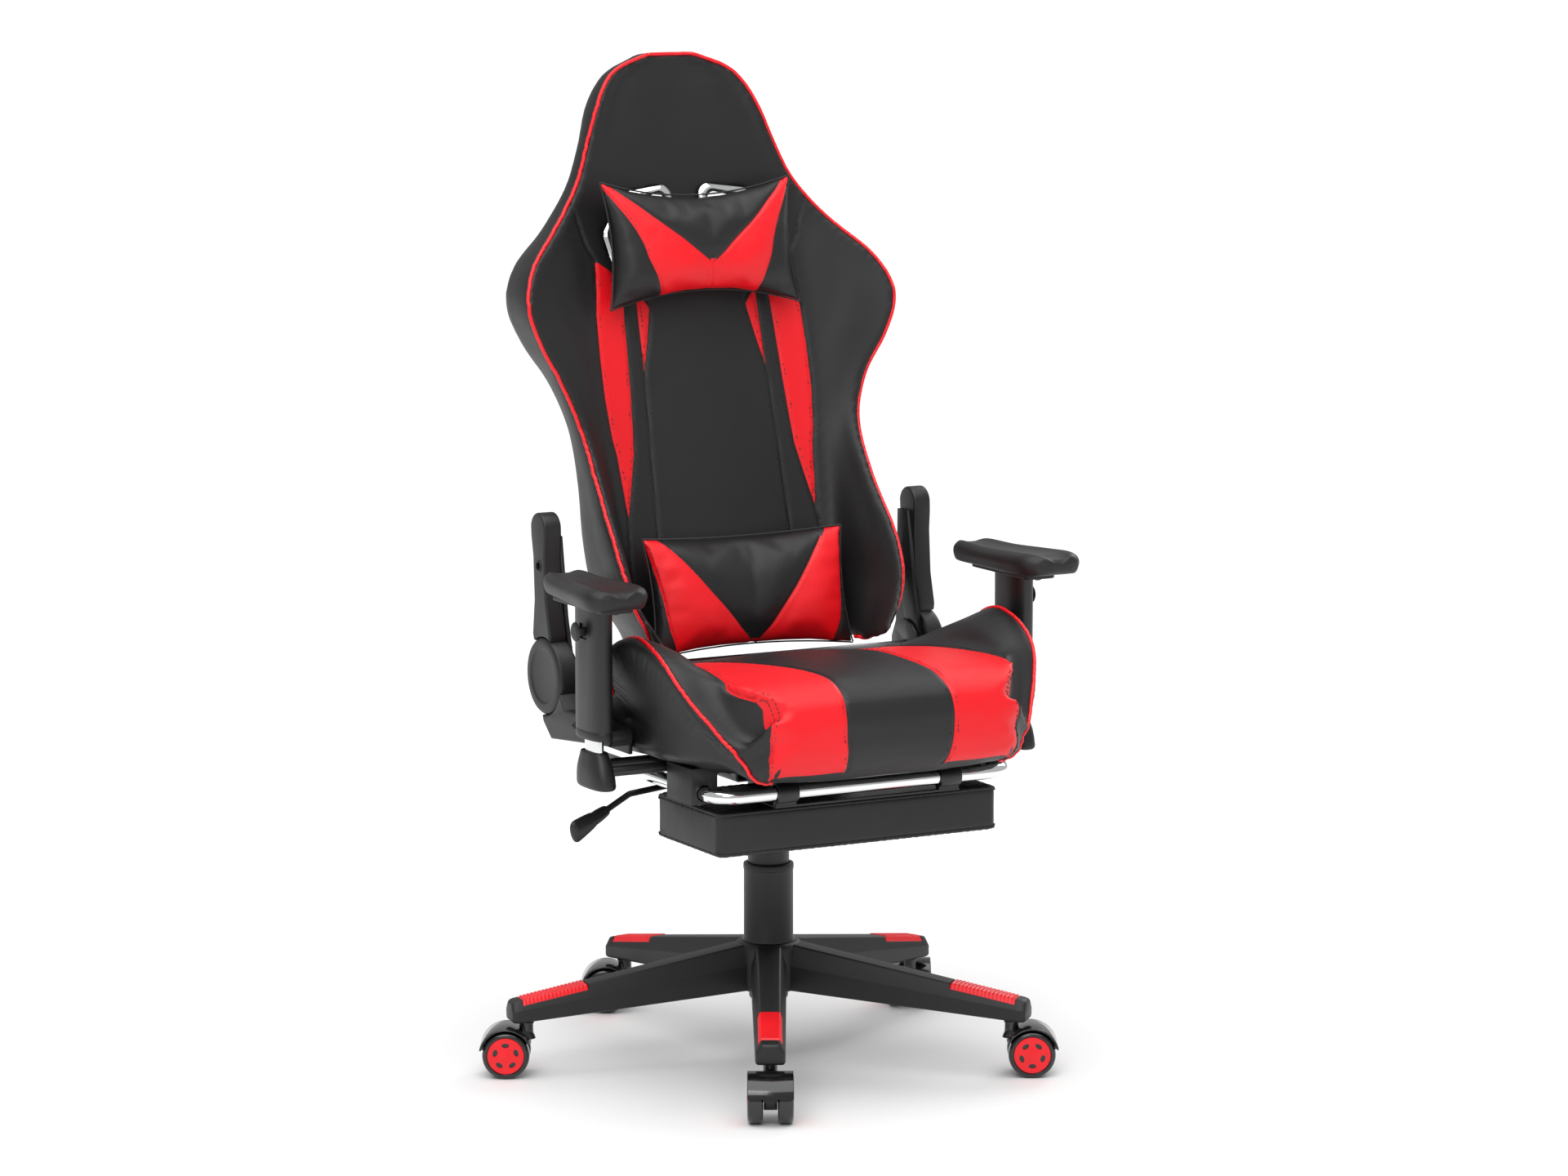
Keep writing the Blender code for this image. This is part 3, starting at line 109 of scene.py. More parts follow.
class Value:
    """A shader value. Arithmetic on it adds Math nodes."""

    def __init__(self, finish, socket):
        self.finish = finish
        self.socket = socket

    def _math(self, operation, *inputs, clamp=False):
        sockets = {i: value for i, value in enumerate(inputs)}
        made = self.finish.node("ShaderNodeMath", {"operation": operation, "use_clamp": clamp}, sockets)
        return Value(self.finish, made.outputs[0])

    def __add__(self, other):
        return self._math("ADD", self, other)

    def __sub__(self, other):
        return self._math("SUBTRACT", self, other)

    def __rsub__(self, other):
        return self._math("SUBTRACT", other, self)

    def __mul__(self, other):
        return self._math("MULTIPLY", self, other)

    def __truediv__(self, other):
        return self._math("DIVIDE", self, other)

    __radd__ = __add__
    __rmul__ = __mul__

    def clamped(self):
        return self._math("ADD", self, 0.0, clamp=True)

    def size(self):
        return self._math("ABSOLUTE", self)

    def wave(self):
        return self._math("SINE", self)


class Finish:
    """A procedural material on a Principled shader."""

    def __init__(self, name, **constants):
        self.material = bpy.data.materials.new(name)
        self.material.use_nodes = True
        self.tree = self.material.node_tree
        self.shader = self.tree.nodes["Principled BSDF"]
        for label, value in constants.items():
            self.shader.inputs[label.replace("_", " ").title().replace("Ior", "IOR")].default_value = value
        self.coordinates = self.node("ShaderNodeTexCoord").outputs["Object"]

    def node(self, kind, settings=None, inputs=None):
        made = self.tree.nodes.new(kind)
        for label, value in (settings or {}).items():
            setattr(made, label, value)
        for key, value in (inputs or {}).items():
            if isinstance(value, Value):
                value = value.socket
            if isinstance(value, bpy.types.NodeSocket):
                self.tree.links.new(value, made.inputs[key])
            else:
                made.inputs[key].default_value = value
        return made

    def link(self, label, value):
        socket = value.socket if isinstance(value, Value) else value
        self.tree.links.new(socket, self.shader.inputs[label])

    def noise(self, scale, detail=2.0, stretch=None):
        """Smooth noise from 0 to 1, with this many features in a metre."""
        place = self.coordinates
        if stretch:
            scaled = self.node("ShaderNodeVectorMath", {"operation": "MULTIPLY"}, {0: place, 1: stretch})
            place = scaled.outputs[0]
        made = self.node("ShaderNodeTexNoise", None, {"Vector": place, "Scale": scale, "Detail": detail})
        return Value(self, made.outputs["Fac"])

    def cells(self, scale):
        """Distance to the nearest cell wall, for leather and pebble grain."""
        made = self.node("ShaderNodeTexVoronoi", {"feature": "DISTANCE_TO_EDGE"},
                         {"Vector": self.coordinates, "Scale": scale})
        return Value(self, made.outputs["Distance"])

    def along(self, axis):
        made = self.node("ShaderNodeSeparateXYZ", None, {0: self.coordinates})
        return Value(self, made.outputs[axis])

    def painted(self, name):
        """A number stored on the mesh's points."""
        made = self.node("ShaderNodeAttribute", {"attribute_name": name})
        return Value(self, made.outputs["Fac"])

    def mix(self, factor, first, second):
        made = self.node("ShaderNodeMix", {"data_type": "RGBA"}, {"Factor": factor})
        for key, colour in ((6, first), (7, second)):
            if isinstance(colour, bpy.types.NodeSocket):
                self.tree.links.new(colour, made.inputs[key])
            else:
                made.inputs[key].default_value = (*colour, 1.0)
        return made.outputs[2]

    def bump(self, height, distance, strength=1.0):
        made = self.node("ShaderNodeBump", None,
                         {"Strength": strength, "Distance": distance, "Height": height})
        self.link("Normal", made.outputs[0])


def shade(colour, factor):
    return tuple(channel * factor for channel in colour)


def leather(name, black, red, roughness):
    """Two-tone synthetic leather. The mesh says which panels are red and where the seams lie."""
    finish = Finish(name, specular_ior_level=0.42)
    looks = bpy.context.scene.chair_looks
    is_red = (finish.painted("red") / 0.0008 + 0.5).clamped()
    patches = finish.noise(9.0, 3.0)
    dark = finish.mix(patches, shade(black, 0.80), shade(black, 1.25))
    bright = finish.mix(patches, shade(red, 0.90), shade(red, 1.06))
    colour = finish.mix(is_red, dark, bright)
    in_seam = 1 - (finish.painted("seam") / 0.0016).clamped()
    finish.link("Base Color", finish.mix(in_seam * 0.75, colour, shade(black, 0.35)))
    grain = finish.cells(looks.grain)
    finish.link("Roughness", roughness + (finish.noise(40.0, 4.0) - 0.5) * 0.12 + in_seam * 0.2)
    creases = finish.noise(90.0, 3.0)
    finish.bump((grain * 1.6).clamped() + creases * 0.5 + finish.noise(2400.0) * 0.25, 0.00016, 0.5)
    return finish.material


def moulded(name, colour, roughness, texture=0.00006, scale=1400.0):
    """Injection-moulded plastic with a fine eroded texture."""
    finish = Finish(name)
    cloudy = finish.noise(22.0, 3.0)
    finish.link("Base Color", finish.mix(cloudy, shade(colour, 0.82), shade(colour, 1.2)))
    finish.link("Roughness", roughness + (cloudy - 0.5) * 0.10 + (finish.noise(260.0, 3.0) - 0.5) * 0.06)
    finish.bump(finish.noise(scale, 3.0), texture)
    return finish.material


def glossy(name, colour, roughness):
    """Polished plastic: faint waves in the surface and fine scuffs."""
    finish = Finish(name, coat_weight=0.35, coat_roughness=0.05)
    finish.link("Base Color", finish.mix(finish.noise(14.0), shade(colour, 0.85), shade(colour, 1.15)))
    finish.link("Roughness", roughness + (finish.noise(300.0, 5.0, (1.0, 1.0, 0.2)) - 0.4).clamped() * 0.3)
    finish.bump(finish.noise(60.0), 0.00005)
    return finish.material


def metal(name, colour, roughness, brushed=0.0, wear=0.05):
    """Chrome or bright steel, with brushing along X where asked for."""
    finish = Finish(name, metallic=1.0)
    smudges = finish.noise(30.0, 4.0)
    finish.link("Base Color", finish.mix(smudges, shade(colour, 0.94), colour))
    streaks = finish.noise(700.0, 3.0, (0.06, 1.0, 1.0))
    finish.link("Roughness", roughness + smudges * wear + streaks * brushed)
    finish.bump(streaks, 0.00002 + 0.00008 * brushed)
    return finish.material


def powder_coat(name, colour, roughness):
    """Baked powder on steel: a fine orange peel."""
    finish = Finish(name)
    finish.link("Base Color", finish.mix(finish.noise(18.0, 3.0), shade(colour, 0.8), shade(colour, 1.25)))
    finish.link("Roughness", roughness + (finish.noise(500.0, 2.0) - 0.5) * 0.12)
    finish.bump(finish.noise(620.0, 2.0), 0.00012)
    return finish.material


def foam_skin(name, colour):
    """Self-skinned foam of the arm pads: a soft pebble grain, rubbed smoother in places."""
    finish = Finish(name, specular_ior_level=0.4)
    rubbed = finish.noise(16.0, 3.0)
    finish.link("Base Color", finish.mix(rubbed, shade(colour, 0.85), shade(colour, 1.35)))
    finish.link("Roughness", 0.56 - rubbed * 0.16)
    finish.bump((finish.cells(1100.0) * 1.5).clamped() + finish.noise(2600.0) * 0.4, 0.00012, 0.7)
    return finish.material


def webbing(name, colour):
    """Woven elastic: ribs across and threads along."""
    finish = Finish(name, sheen_weight=0.25, sheen_roughness=0.5)
    ribs = (finish.along("Z") * 2600.0).wave()
    threads = (finish.along("X") * 3800.0).wave()
    weave = (ribs * threads * 0.5 + 0.5).clamped()
    finish.link("Base Color", finish.mix(weave, shade(colour, 0.7), shade(colour, 1.5)))
    finish.link("Roughness", 0.78 + finish.noise(90.0, 3.0) * 0.12)
    finish.bump(ribs * 0.6 + threads * 0.4, 0.00018)
    return finish.material


def thread(name, colour):
    """Twisted sewing thread."""
    finish = Finish(name, sheen_weight=0.2)
    twist = ((finish.along("X") + finish.along("Y") + finish.along("Z") * 1.3) * 5200.0).wave()
    finish.link("Base Color", finish.mix(twist * 0.5 + 0.5, shade(colour, 0.7), shade(colour, 1.3)))
    finish.link("Roughness", 0.62 + finish.noise(400.0) * 0.1)
    finish.bump(twist, 0.0001)
    return finish.material


def plywood(name):
    """Birch plywood: long grain on its faces and darker glue lines on its edges."""
    finish = Finish(name)
    grain = finish.noise(60.0, 5.0, (0.5, 0.05, 4.0))
    plies = (((finish.along("Z") * 2100.0).wave() - 0.4) * 3.0).clamped()
    wood = finish.mix(grain, (0.42, 0.27, 0.13), (0.66, 0.47, 0.27))
    finish.link("Base Color", finish.mix(plies * 0.35, wood, (0.20, 0.11, 0.05)))
    finish.link("Roughness", 0.62 + grain * 0.15)
    finish.bump(grain, 0.0002)
    return finish.material


# Finishes made so far, by name
FINISHES = {}


def finish_of(name):
    """The named finish, made when it is first asked for."""
    looks = bpy.context.scene.chair_looks
    black, red = tuple(looks.black), tuple(looks.red)
    makers = {
        "panel_leather": lambda: leather("panel_leather", black, red, 0.46),
        "pillow_leather": lambda: leather("pillow_leather", black, shade(red, 1.04), 0.44),
        "piping_vinyl": lambda: moulded("piping_vinyl", red, 0.34, 0.00005, 900.0),
        "black_nylon": lambda: moulded("black_nylon", shade(black, 0.75), 0.46),
        "base_nylon": lambda: moulded("base_nylon", shade(black, 0.62), 0.50, 0.00009, 900.0),
        "red_plastic": lambda: moulded("red_plastic", red, 0.40, 0.00006, 800.0),
        "gloss_black": lambda: glossy("gloss_black", shade(black, 0.55), 0.13),
        "dark_nickel": lambda: metal("dark_nickel", (0.40, 0.38, 0.35), 0.20, 0.06),
        "chrome": lambda: metal("chrome", (0.86, 0.87, 0.88), 0.05, 0.02),
        "grey_steel": lambda: metal("grey_steel", (0.50, 0.50, 0.51), 0.28, 0.18),
        "black_steel": lambda: powder_coat("black_steel", shade(black, 0.8), 0.36),
        "black_pad": lambda: foam_skin("black_pad", black),
        "elastic": lambda: webbing("elastic", shade(black, 0.7)),
        "black_thread": lambda: thread("black_thread", shade(black, 0.9)),
        "plywood": lambda: plywood("plywood"),
    }
    if name not in FINISHES:
        FINISHES[name] = makers[name]()
    return FINISHES[name]


# ---- shapes ----------------------------------------------------------------------------------------


def facing_out(bm):
    bmesh.ops.recalc_face_normals(bm, faces=bm.faces)
    if bm.calc_volume(signed=True) < 0:
        bmesh.ops.reverse_faces(bm, faces=bm.faces)


def mesh_from(bm, name="shape"):
    facing_out(bm)
    mesh = bpy.data.meshes.new(name)
    bm.to_mesh(mesh)
    bm.free()
    return mesh


def piece(name, mesh, finish, body, replaces=(), in_place=False, crease=40.0):
    """A finished piece on its body. Its mesh is drawn about the column's axis unless it is in place."""
    mesh.name = name
    if not in_place:
        mesh.transform(Matrix.Translation(COLUMN))
    mesh.materials.clear()
    mesh.materials.append(finish_of(finish))
    mesh.shade_smooth()
    mesh.set_sharp_from_angle(angle=math.radians(crease))
    obj = bpy.data.objects.new(name, mesh)
    bpy.context.scene.collection.objects.link(obj)
    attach(obj, body)
    if replaces:
        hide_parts(*replaces)
    return obj


def refine(keys, steps, closed=False):
    """A smooth curve, or rows of them, through the keys, with this many steps from key to key."""
    keys = np.asarray(keys, float)
    count = len(keys)
    found = []
    for i in range(count if closed else count - 1):
        near, far = keys[i], keys[(i + 1) % count]
        before = keys[i - 1] if closed or i else 2 * near - far
        after = keys[(i + 2) % count] if closed or i + 2 < count else 2 * far - near
        for step in range(steps):
            t = step / steps
            found.append(0.5 * (
                2 * near + (far - before) * t + (2 * before - 5 * near + 4 * far - after) * t * t
                + (3 * near - before - 3 * far + after) * t ** 3
            ))
    if not closed:
        found.append(keys[-1])
    return np.array(found)


def skin(rings, along=1, round_=1):
    """A closed skin over rings of equal length, smoothed along and round them."""
    rings = refine(rings, along) if along > 1 else np.asarray(rings, float)
    if round_ > 1:
        rings = np.swapaxes(refine(np.swapaxes(rings, 0, 1), round_, closed=True), 0, 1)
    bm = bmesh.new()
    rows = [[bm.verts.new(point) for point in ring] for ring in rings]
    for row, following in zip(rows, rows[1:]):
        for i, vert in enumerate(row):
            j = (i + 1) % len(row)
            bm.faces.new((vert, row[j], following[j], following[i]))
    bm.faces.new(rows[0])
    bm.faces.new(rows[-1])
    return mesh_from(bm)


def turned(profile, sides=64, lay=None):
    """A profile of (radius, height) turned about Z, then laid by a matrix."""
    bm = bmesh.new()
    verts = [bm.verts.new((radius, 0, height)) for radius, height in profile]
    edges = [bm.edges.new(pair) for pair in zip(verts, verts[1:])]
    if min(radius for radius, _ in profile) > 0:
        edges.append(bm.edges.new((verts[-1], verts[0])))
    bmesh.ops.spin(bm, geom=verts + edges, axis=(0, 0, 1), cent=(0, 0, 0), angle=math.tau,
                   steps=sides, use_merge=True)
    bmesh.ops.remove_doubles(bm, verts=bm.verts, dist=1e-6)
    if lay:
        bm.transform(lay)
    return mesh_from(bm)


def prism(outline, near, far, edge=0.0, segments=3, lay=None):
    """An outline in X and Y between two heights, with its rims rounded, then laid by a matrix."""
    bm = bmesh.new()
    low = bm.faces.new([bm.verts.new((x, y, near)) for x, y in outline])
    grown = bmesh.ops.extrude_face_region(bm, geom=[low])["geom"]
    top = [item for item in grown if isinstance(item, bmesh.types.BMVert)]
    bmesh.ops.translate(bm, verts=top, vec=(0, 0, far - near))
    facing_out(bm)
    if edge:
        rims = [e for e in bm.edges if abs(e.verts[0].co.z - e.verts[1].co.z) < 1e-7]
        bmesh.ops.bevel(bm, geom=rims, offset=edge, segments=segments, profile=0.5, affect="EDGES",
                        clamp_overlap=True)
    if lay:
        bm.transform(lay)
    return mesh_from(bm)


def box(low, high, edge=0.0, segments=3):
    """A box between two corners, with its edges rounded if asked."""
    outline = ((low[0], low[1]), (high[0], low[1]), (high[0], high[1]), (low[0], high[1]))
    bm = bmesh.new()
    bm.from_mesh(prism(outline, low[2], high[2]))
    if edge:
        bmesh.ops.bevel(bm, geom=bm.edges[:], offset=edge, segments=segments, profile=0.5, affect="EDGES",
                        clamp_overlap=True)
    return mesh_from(bm)


def frames_along(path, closed=False):
    """Each point of a path with its direction and two axes across, turning as little as they can."""
    path = [Vector(point) for point in path]
    count = len(path)
    across = None
    for i, here in enumerate(path):
        ahead = path[(i + 1) % count] if closed or i + 1 < count else here
        behind = path[i - 1] if closed or i else here
        along = (ahead - behind).normalized()
        if across is None:
            across = along.orthogonal().normalized()
        across = (across - along * across.dot(along)).normalized()
        yield here, along, across, along.cross(across)


def sweep(path, radius, sides=16, closed=False, flat=None, up=None):
    """A tube along a path, or a flat band where flat gives its half width and up its face."""
    rings = []
    for here, along, across, over in frames_along(path, closed):
        if up is not None:
            over = (Vector(up) - along * Vector(up).dot(along)).normalized()
            across = along.cross(over)
        wide = flat or radius
        ring = []
        for i in range(sides):
            turn = math.tau * (i + 0.5) / sides
            c, s = math.cos(turn), math.sin(turn)
            if flat:
                c, s = math.copysign(abs(c) ** 0.35, c), math.copysign(abs(s) ** 0.35, s)
            ring.append(here + across * (wide * c) + over * (radius * s))
        rings.append(ring)
    if not closed:
        return skin([[tuple(point) for point in ring] for ring in rings])
    bm = bmesh.new()
    rows = [[bm.verts.new(point) for point in ring] for ring in rings]
    for row, following in zip(rows, rows[1:] + rows[:1]):
        for i, vert in enumerate(row):
            j = (i + 1) % sides
            bm.faces.new((vert, row[j], following[j], following[i]))
    return mesh_from(bm)


def arc(centre, radius, first, last, steps):
    """Points on a flat arc, with its angles in degrees."""
    turns = (math.radians(first + (last - first) * i / steps) for i in range(steps + 1))
    return [(centre[0] + radius * math.cos(t), centre[1] + radius * math.sin(t)) for t in turns]


def rounded(corners, radius, steps=6, closed=True):
    """The corners with an arc of this radius in place of each, cut down where an edge is short."""
    points = []
    count = len(corners)
    for i, corner in enumerate(corners):
        here = Vector(corner)
        if not closed and i in (0, count - 1):
            points.append(here)
            continue
        back = Vector(corners[i - 1]) - here
        ahead = Vector(corners[(i + 1) % count]) - here
        half = back.angle(ahead) / 2
        reach = min(radius / math.tan(half), 0.45 * back.length, 0.45 * ahead.length)
        bend = reach * math.tan(half)
        centre = here + (back.normalized() + ahead.normalized()).normalized() * (bend / math.sin(half))
        first = here + back.normalized() * reach - centre
        last = here + ahead.normalized() * reach - centre
        for step in range(steps + 1):
            arm = first.lerp(last, step / steps)
            points.append(centre + arm.normalized() * bend)
    return points


def oval(centre, half, height, sides=32, power=2.6):
    """A squarish ellipse in a level plane."""
    ring = []
    for i in range(sides):
        turn = math.tau * (i + 0.5) / sides
        c, s = math.cos(turn), math.sin(turn)
        ring.append((centre[0] + half[0] * math.copysign(abs(c) ** (2 / power), c),
                     centre[1] + half[1] * math.copysign(abs(s) ** (2 / power), s), height))
    return ring


def lay_along(at, direction):
    """The matrix that lays Z along a direction, with its foot at a point."""
    return Matrix.Translation(Vector(at)) @ Vector(direction).to_track_quat("Z", "Y").to_matrix().to_4x4()


def joined(meshes):
    """Several closed shapes as one mesh."""
    bm = bmesh.new()
    for mesh in meshes:
        bm.from_mesh(mesh)
        bpy.data.meshes.remove(mesh)
    mesh = bpy.data.meshes.new("group")
    bm.to_mesh(mesh)
    bm.free()
    return mesh


def combine(mesh, others, operation="DIFFERENCE"):
    """The first mesh with the others cut from it, or united with it."""
    scene = bpy.context.scene.collection
    obj = bpy.data.objects.new("body", mesh)
    scene.objects.link(obj)
    tools = []
    for other in others:
        tool = bpy.data.objects.new("tool", other)
        scene.objects.link(tool)
        modifier = obj.modifiers.new("Cut", "BOOLEAN")
        modifier.operation = operation
        modifier.solver = "EXACT"
        modifier.object = tool
        tools.append(tool)
    graph = bpy.context.evaluated_depsgraph_get()
    made = bpy.data.meshes.new_from_object(obj.evaluated_get(graph))
    for used in [obj, *tools]:
        bpy.data.objects.remove(used)
    return made


def eased(node, width=0.0012, segments=2, sharp=28.0):
    """A node's shape with its edges rounded, already in place."""
    bm = bmesh.new()
    bm.from_mesh(frame["nodes"][node].data)
    bmesh.ops.remove_doubles(bm, verts=bm.verts, dist=1e-6)
    bmesh.ops.dissolve_limit(bm, angle_limit=math.radians(1.5), verts=bm.verts, edges=bm.edges)
    edges = [e for e in bm.edges if e.is_manifold and e.calc_face_angle(0.0) > math.radians(sharp)]
    bmesh.ops.bevel(bm, geom=edges, offset=width, segments=segments, profile=0.5, affect="EDGES",
                    clamp_overlap=True)
    mesh = bpy.data.meshes.new(node)
    bm.to_mesh(mesh)
    bm.free()
    return mesh


def screw_head(at, direction, radius=0.0045):
    """A button head with a hexagon socket."""
    lay = lay_along(at, direction)
    head = turned([
        (0.0, 0.0026), (radius * 0.55, 0.0026), (radius * 0.9, 0.0017), (radius, 0.0005), (radius, -0.001),
        (0.0, -0.001),
    ], 32, lay)
    socket = prism(arc((0, 0), radius * 0.45, 0, 300, 5), 0.0010, 0.004, lay=lay)
    return combine(head, [socket])


# ---- upholstery ------------------------------------------------------------------------------------


def read_points(mesh):
    points = np.empty(len(mesh.vertices) * 3)
    mesh.vertices.foreach_get("co", points)
    return points.reshape(-1, 3)


def read_normals(mesh):
    normals = np.empty(len(mesh.vertices) * 3)
    mesh.vertex_normals.foreach_get("vector", normals)
    return normals.reshape(-1, 3)


def write_points(mesh, points):
    mesh.vertices.foreach_set("co", np.asarray(points, np.float32).ravel())
    mesh.update()


def paint(mesh, name, values):
    layer = mesh.attributes.get(name) or mesh.attributes.new(name, "FLOAT", "POINT")
    layer.data.foreach_set("value", np.asarray(values, np.float32))


def dense(line, step=0.0015):
    """A smooth line through the points, with a point at least every step."""
    line = refine(line, 4)
    found = []
    for start, end in zip(line, line[1:]):
        count = max(1, math.ceil(np.linalg.norm(end - start) / step))
        found += [start + (end - start) * i / count for i in range(count)]
    return np.array(found + [line[-1]])


def both_sides(lines):
    """Each line and its mirror image."""
    return [np.asarray(line, float) * (side, 1, 1) for line in lines for _, side in SIDES]


def tree_of(lines):
    samples = np.concatenate(lines)
    tree = KDTree(len(samples))
    for i, sample in enumerate(samples):
        tree.insert(sample, i)
    tree.balance()
    return tree


def distance_to(points, lines):
    tree = tree_of(lines)
    return np.array([tree.find(point)[2] for point in points])


def evaluated(obj):
    graph = bpy.context.evaluated_depsgraph_get()
    return bpy.data.meshes.new_from_object(obj.evaluated_get(graph))


def inflate(obj, held, pressure, slack, stiffness):
    """Blows the cover up from inside with cloth simulation, held at its seams, and gives its new points."""
    group = obj.vertex_groups.new(name="held")
    group.add([int(i) for i in np.flatnonzero(held)], 1.0, "REPLACE")
    cloth = obj.modifiers.new("Cloth", "CLOTH")
    settings = cloth.settings
    settings.quality = 4
    settings.mass = 0.25
    settings.tension_stiffness = settings.compression_stiffness = stiffness
    settings.shear_stiffness = stiffness / 3
    settings.bending_stiffness = 0.4
    settings.use_pressure = True
    settings.uniform_pressure_force = pressure
    settings.shrink_min = -slack
    settings.vertex_group_mass = group.name
    settings.effector_weights.gravity = 0.0
    cloth.collision_settings.use_collision = False
    cloth.point_cache.frame_start = 1
    cloth.point_cache.frame_end = 20
    scene = bpy.context.scene
    for number in range(1, 21):
        scene.frame_set(number)
    settled = evaluated(obj)
    points = read_points(settled)
    bpy.data.meshes.remove(settled)
    obj.modifiers.remove(cloth)
    scene.frame_set(1)
    return points


def spread_out(mesh, values, times):
    """Values averaged with their neighbours' over the mesh, this many times."""
    ends = np.empty(len(mesh.edges) * 2, np.int32)
    mesh.edges.foreach_get("vertices", ends)
    first, second = ends.reshape(-1, 2).T
    count = np.bincount(ends, minlength=len(mesh.vertices))[:, None]
    for _ in range(times):
        total = np.zeros_like(values)
        for k in range(values.shape[1]):
            total[:, k] = np.bincount(first, values[second, k], len(values))
            total[:, k] += np.bincount(second, values[first, k], len(values))
        values = (values + total / count) / 2
    return values


def upholster(shape, voxel, seams, pressure=4.0, most=0.006, slack=0.0, hold=0.005, start_in=0.0015,
              stiffness=15.0, smoothing=4, evening=8):
    """A padded cover over a shape: evenly meshed, drawn in a little, blown up between its seams by
    cloth simulation with no point moving further than most, evened out and subdivided once."""
    obj = bpy.data.objects.new("cover", shape)
    bpy.context.scene.collection.objects.link(obj)
    mesh = shape
    if voxel:
        even = obj.modifiers.new("Even", "REMESH")
        even.mode = "VOXEL"
        even.voxel_size = voxel
        smooth = obj.modifiers.new("Smooth", "SMOOTH")
        smooth.factor = 0.5
        smooth.iterations = smoothing
        mesh = evaluated(obj)
        obj.modifiers.clear()
        obj.data = mesh
    points = read_points(mesh)
    held = distance_to(points, seams) < hold
    inner = points - read_normals(mesh) * start_in
    write_points(mesh, np.where(held[:, None], points, inner))
    moved = inflate(obj, held, pressure, slack, stiffness) - points
    length = np.linalg.norm(moved, axis=1, keepdims=True)
    moved *= np.minimum(1.0, most / np.maximum(length, 1e-9))
    points = points + spread_out(mesh, moved, evening)
    write_points(mesh, points)
    finer = obj.modifiers.new("Finer", "SUBSURF")
    finer.levels = finer.render_levels = 1
    mesh = evaluated(obj)
    bpy.data.objects.remove(obj)
    return mesh


def tuck(mesh, seams, width=0.0045, depth=0.0022):
    """Draws the cover in along its seams and paints how far each point is from one."""
    points = read_points(mesh)
    away = distance_to(points, seams)
    share = np.clip(away / width, 0, 1)
    drop = depth * (1 - share * share * (3 - 2 * share))
    write_points(mesh, points - read_normals(mesh) * drop[:, None])
    paint(mesh, "seam", away)


def gather(mesh, line, reach, depth, where, pitch=0.011):
    """Small folds that run out from a seam and die away, where the function says so."""
    tree = tree_of([line])
    step = np.linalg.norm(np.diff(line, axis=0), axis=1).mean()
    points, normals = read_points(mesh), read_normals(mesh)
    lift = np.zeros(len(points))
    for i, point in enumerate(points):
        _, index, away = tree.find(point)
        if away < reach * 3:
            place = index * step / pitch
            fold = math.sin(math.tau * place) + 0.6 * math.sin(math.tau * place * 0.618 + 1.0)
            lift[i] = depth * fold * math.exp(-away / reach) * min(1.0, away / 0.004)
    write_points(mesh, points + normals * (lift * where(points, normals))[:, None])


def inside(points, polygon):
    """How far flat points lie inside a polygon, negative outside."""
    polygon = np.asarray(polygon, float)
    ends = np.roll(polygon, -1, axis=0)
    away = np.full(len(points), 1e9)
    crossed = np.zeros(len(points), bool)
    for (x0, y0), (x1, y1) in zip(polygon, ends):
        run = np.array((x1 - x0, y1 - y0))
        from_start = points - (x0, y0)
        share = np.clip((from_start @ run) / max(run @ run, 1e-12), 0, 1)
        away = np.minimum(away, np.linalg.norm(from_start - share[:, None] * run, axis=1))
        if y0 != y1:
            spans = (points[:, 1] > y0) != (points[:, 1] > y1)
            crossed ^= spans & (points[:, 0] < x0 + (points[:, 1] - y0) * (x1 - x0) / (y1 - y0))
    return np.where(crossed, away, -away)


def surface_of(mesh):
    bm = bmesh.new()
    bm.from_mesh(mesh)
    tree = BVHTree.FromBMesh(bm)
    bm.free()
    return tree


def draped(line, surface, lift, step=0.004, smoothing=4):
    """A line laid on a surface, lifted off it and smoothed."""
    found = []
    for sample in dense(line, step):
        place, normal, _, _ = surface.find_nearest(Vector(sample))
        found.append(place + normal * lift)
    smooth = np.array(found)
    for _ in range(smoothing):
        smooth[1:-1] = (smooth[:-2] + 2 * smooth[1:-1] + smooth[2:]) / 4
    return smooth


def laid(line, surface):
    """A measured line laid on a shape."""
    return draped(line, surface, 0.0, 0.002, 12)


def stitches(lines, surface, offset=0.0, length=0.0038, gap=0.0020, radius=0.00045):
    """Single stitches along lines on a surface, each a short thread that dips in at its ends."""
    meshes = []
    for line in lines:
        track = draped(line, surface, 0.0, 0.001)
        spans = np.linalg.norm(np.diff(track, axis=0), axis=1)
        place = np.concatenate([[0], np.cumsum(spans)])
        start = gap
        while start + length < place[-1]:
            shares = np.linspace(start, start + length, 4)
            run = np.stack([np.interp(shares, place, track[:, k]) for k in range(3)], 1)
            path = []
            for i, sample in enumerate(run):
                spot, normal, _, _ = surface.find_nearest(Vector(sample))
                side = normal.cross(Vector(run[-1] - run[0])).normalized() * offset
                path.append(spot + side + normal * (radius * (1.1 if i in (1, 2) else -0.6)))
            meshes.append(sweep(path, radius, 5))
            start += length + gap
    return joined(meshes)


def piping(line, surface, radius):
    """A round bead sewn into a seam."""
    return sweep(draped(line, surface, radius * 0.6, 0.004, 16), radius, 12)


# ---- seat ------------------------------------------------------------------------------------------

